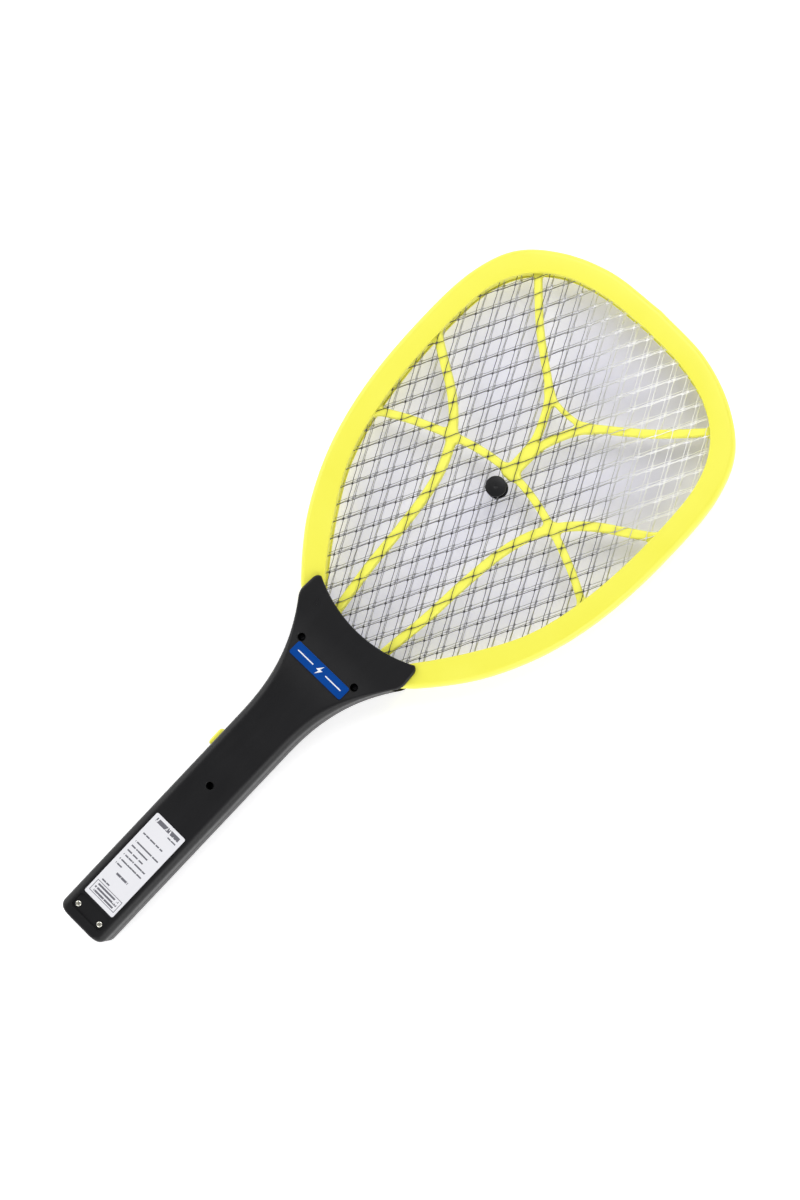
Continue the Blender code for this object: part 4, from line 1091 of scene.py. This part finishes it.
# ---------------------------------------------------------------- side button
# The push button is a yellow cap in a window on the grip's left flank. Its flange stays
# behind the wall, a plunger behind it works the switch, and a steel spring returns it.
press_tip, tip_soft, press_flange, flange_half_length = -21.0, 1.8, (-15.0, -13.9), 8.0
spring_x, spring_radius, spring_wire, spring_turns = (-13.3, -10.55), 2.4, 0.25, 3


def button_section(x):
    """The cap's outline across the grip, smaller towards its soft tip."""
    shrink = rounded_off(x - press_tip, tip_soft)
    half_length, half_height = press_half_length - shrink, press_half_height - shrink
    return [(x, press_y + a, mid + b) for b, a in soft_rectangle(half_height, -half_length, half_length, 1.3)]


tip_rows = [press_tip + tip_soft * (1 - math.cos(math.radians(angle))) for angle in range(0, 91, 10)]
cap = skinned("push_button_cap", [button_section(x) for x in tip_rows + [press_flange[0] + 0.4]], yellow)
flange_back, flange_front = press_flange
flange_rows = [(flange_back, 0.2), (flange_back + 0.2, 0.0), (flange_front - 0.2, 0.0), (flange_front, 0.2)]
flange_sections = []
for x, sunk in flange_rows:
    long = flange_half_length - sunk
    outline = soft_rectangle(press_half_height - sunk, -long, long, 1.0)
    flange_sections.append([(x, press_y + a, mid + b) for b, a in outline])
flange = skinned("flange", flange_sections, yellow)
carved(cap, [flange], "UNION")
fitted(cap, "press_button", "yellow_plastic", "side_button")

spring_sections = []
spring_steps = 24 * spring_turns
for step in range(spring_steps + 1):
    angle = 2 * math.pi * spring_turns * step / spring_steps
    x = spring_x[0] + (spring_x[1] - spring_x[0]) * step / spring_steps
    ring = [(x + up, spring_radius + across) for across, up in round_outline(0, 0, spring_wire, 8)]
    along, up = math.cos(angle), math.sin(angle)
    spring_sections.append([(x, press_y + out * along, mid + out * up) for x, out in ring])
spring = skinned("return_spring_wire", spring_sections, zinc)
fitted(spring, casing, "zinc_steel", "button_spring")
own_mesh(spring)

# ---------------------------------------------------------------- sliders and lamp
# On the front, a small ribbed slider switches the swatter on and a larger one pushes the
# plug out. Both are black plates on a post through their slot. A red lamp shows the charge.
knob_low, knob_high, lamp_length = 0.2, 0.9, 6.4


def ribbed_slider(name, y, plate, post, post_top, ridges, body, node):
    """A thumb plate with cross ridges on its outer face, and its post."""
    half, reach = plate
    pitch = 2 * (reach - 0.8) / ridges
    profile = [(-reach, knob_high), (-reach, knob_low + 0.3), (0.5 - reach, knob_low + 0.05)]
    for ridge in range(ridges):
        start = 0.8 - reach + pitch * ridge
        ridge_steps = ((0.15, 0.25), (0.4, 0.0), (0.6, 0.0), (0.85, 0.25))
        profile += [(start + pitch * share, knob_low + sunk) for share, sunk in ridge_steps]
    profile += [(reach - 0.5, knob_low + 0.05), (reach, knob_low + 0.3), (reach, knob_high)]
    slider = skinned(name, [[(x, y + a, z) for a, z in profile] for x in (-half, half)], black)
    stem = prism("stem", soft_rectangle(post[0], y - post[1], y + post[1], 0.5), knob_high - 0.2, post_top)
    carved(slider, [stem], "UNION")
    fitted(slider, body, "black_plastic", node)


ribbed_slider("power_switch_knob", power_y, (3.8, 3.0), (1.2, 1.2), 4.4, 4, "power_switch", "power_slider")
ribbed_slider("plug_slider_knob", plug_y, (5.5, 6.0), (1.7, 3.0), 4.2, 7, "charging_plug",
              "plug_thumb_slider")

lamp_red = Paint("lamp_red", {"Transmission Weight": 0.35, "IOR": 1.5, "Coat Weight": 0.3})
lamp_red.set("Base Color", lamp_red.blend(lamp_red.cloud(400.0), colour(0.55, 0.01, 0.01),
                                          colour(0.75, 0.03, 0.02)))
lamp_red.set("Roughness", 0.08 + lamp_red.cloud(900.0) * 0.08)
lamp_profile = [(0, 0)] + [(up, lamp_radius - across) for across, up in arc(lamp_radius, 0, 90, 8)][1:]
lamp_profile += [(lamp_radius, lamp_length), (0, lamp_length)]
lamp = turned("charge_lamp_dome", lamp_profile, lamp_place, 0.3, 1, lamp_red, count=28)
fitted(lamp, casing, "led_red", "indicator_led")

# ---------------------------------------------------------------- charging plug
# Two round nickel-plated pins ride on a black carriage and slide out of the handle's end,
# guided by a block behind the end wall. Two sprung strips pick up their current.
plated = Paint("plated_pins", {"Metallic": 1.0})
plated_wear = plated.cloud(300.0, 3.0, (1.0, 0.2, 1.0))
plated.set("Base Color", plated.blend(plated_wear, colour(0.70, 0.64, 0.46), colour(0.86, 0.83, 0.74)))
plated.set("Roughness", 0.18 + plated_wear * 0.18)
plated.bump(plated.cloud(2000.0, 1.0, (1.0, 0.1, 1.0)), 0.00002)
pin_tip_y, pin_end = -247.2, 27.2
pin_profile = [(0, 0), (1.0, 0), (1.5, 0.15), (1.85, 0.5), (plug_pin_radius, 1.0), (plug_pin_radius, pin_end),
               (0, pin_end)]
for word, flank in (("left", -1), ("right", 1)):
    place = (flank * plug_pin_x, plug_pin_z)
    pin = turned(f"plug_pin_{word}_turned", pin_profile, place, pin_tip_y, 1, plated, "Y", 28)
    fitted(pin, "charging_plug", "plated_brass", f"plug_pin_{word}")

# ---------------------------------------------------------------- inside the handle
# The circuit board, its parts, the battery pack and the leads keep their plain shapes and
# only take their finishes: laminate, ferrite, tape, lacquer, foam and insulation.


def speckled(name, first, second, scale, roughness, depth, **steady):
    """A finish that drifts between two colours, with a matching fine relief."""
    paint = Paint(name, {"Metallic": steady.get("metallic", 0.0)})
    drift = paint.cloud(scale, 3.0, steady.get("stretch", (1.0, 1.0, 1.0)))
    paint.set("Base Color", paint.blend(drift, colour(*first), colour(*second)))
    paint.set("Roughness", roughness + drift * 0.12)
    paint.bump(drift, depth)
    return paint


laminate = speckled("board_laminate", (0.20, 0.12, 0.04), (0.32, 0.20, 0.08), 700.0, 0.5, 0.00004,
                    stretch=(1.0, 0.2, 1.0))
ferrite = speckled("ferrite", (0.035, 0.035, 0.04), (0.07, 0.07, 0.075), 1500.0, 0.65, 0.00008)
tape = speckled("winding_tape", (0.70, 0.50, 0.06), (0.82, 0.62, 0.10), 300.0, 0.3, 0.00006,
                stretch=(0.2, 1.0, 1.0))
dipped_red = speckled("capacitor_red", (0.30, 0.05, 0.02), (0.40, 0.08, 0.035), 200.0, 0.22, 0.00008)
dipped_blue = speckled("capacitor_blue", (0.015, 0.10, 0.34), (0.03, 0.15, 0.45), 200.0, 0.3, 0.00008)
epoxy = speckled("epoxy_black", (0.012, 0.012, 0.012), (0.03, 0.03, 0.03), 1200.0, 0.45, 0.00004)
battery_wrap = speckled("battery_wrap", (0.08, 0.08, 0.10), (0.13, 0.13, 0.15), 90.0, 0.35, 0.00008)
foam = speckled("foam_pad", (0.10, 0.10, 0.11), (0.26, 0.26, 0.27), 1400.0, 0.85, 0.0003)
lead_red = speckled("lead_red", (0.42, 0.01, 0.01), (0.56, 0.03, 0.02), 400.0, 0.4, 0.00003)
lead_black = speckled("lead_black", (0.012, 0.012, 0.012), (0.03, 0.03, 0.03), 400.0, 0.4, 0.00003)

banded = Paint("resistor_bands", {})
resistor_x = banded.part(banded.place, 0)
body_tone = banded.blend(banded.cloud(600.0), colour(0.52, 0.38, 0.20), colour(0.64, 0.49, 0.28))
band_colours = {1.5: (0.25, 0.08, 0.02), 2.5: (0.02, 0.02, 0.02), 3.5: (0.60, 0.12, 0.02),
                4.5: (0.55, 0.42, 0.08)}
band_half = 0.2
for band_x, tone in band_colours.items():
    band = banded.between(resistor_x, (band_x - band_half) * MM, (band_x + band_half) * MM)
    body_tone = banded.blend(band, body_tone, colour(*tone))
banded.set("Base Color", body_tone)
banded.set("Roughness", 0.35 + banded.cloud(900.0) * 0.1)

kept_nodes = {
    laminate: ["circuit_board"],
    ferrite: ["transformer_core"],
    tape: ["transformer_winding", "charging_capacitor"],
    dipped_red: ["storage_capacitor"],
    dipped_blue: [f"multiplier_capacitor_{stage}" for stage in (1, 2, 3)],
    epoxy: [f"multiplier_diode_{stage}" for stage in (1, 2, 3)] + ["transistor", "bridge_rectifier"],
    banded: [f"resistor_{number}" for number in (1, 2, 3)],
    battery_wrap: ["battery"],
    foam: ["battery_pad"],
    lead_red: ["high_voltage_lead", "battery_lead_left", "battery_lead_right"],
    lead_black: ["back_net_lead", "front_net_lead", "mains_lead_left", "mains_lead_right"],
    zinc: ["slide_switch_body"],
    black: ["push_switch_plunger", "push_switch_body", "plug_carriage", "plug_guide"],
    plated: ["contact_strip_left", "contact_strip_right"],
}
for paint, names in kept_nodes.items():
    for name in names:
        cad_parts[name].material_slots[0].material = paint.material
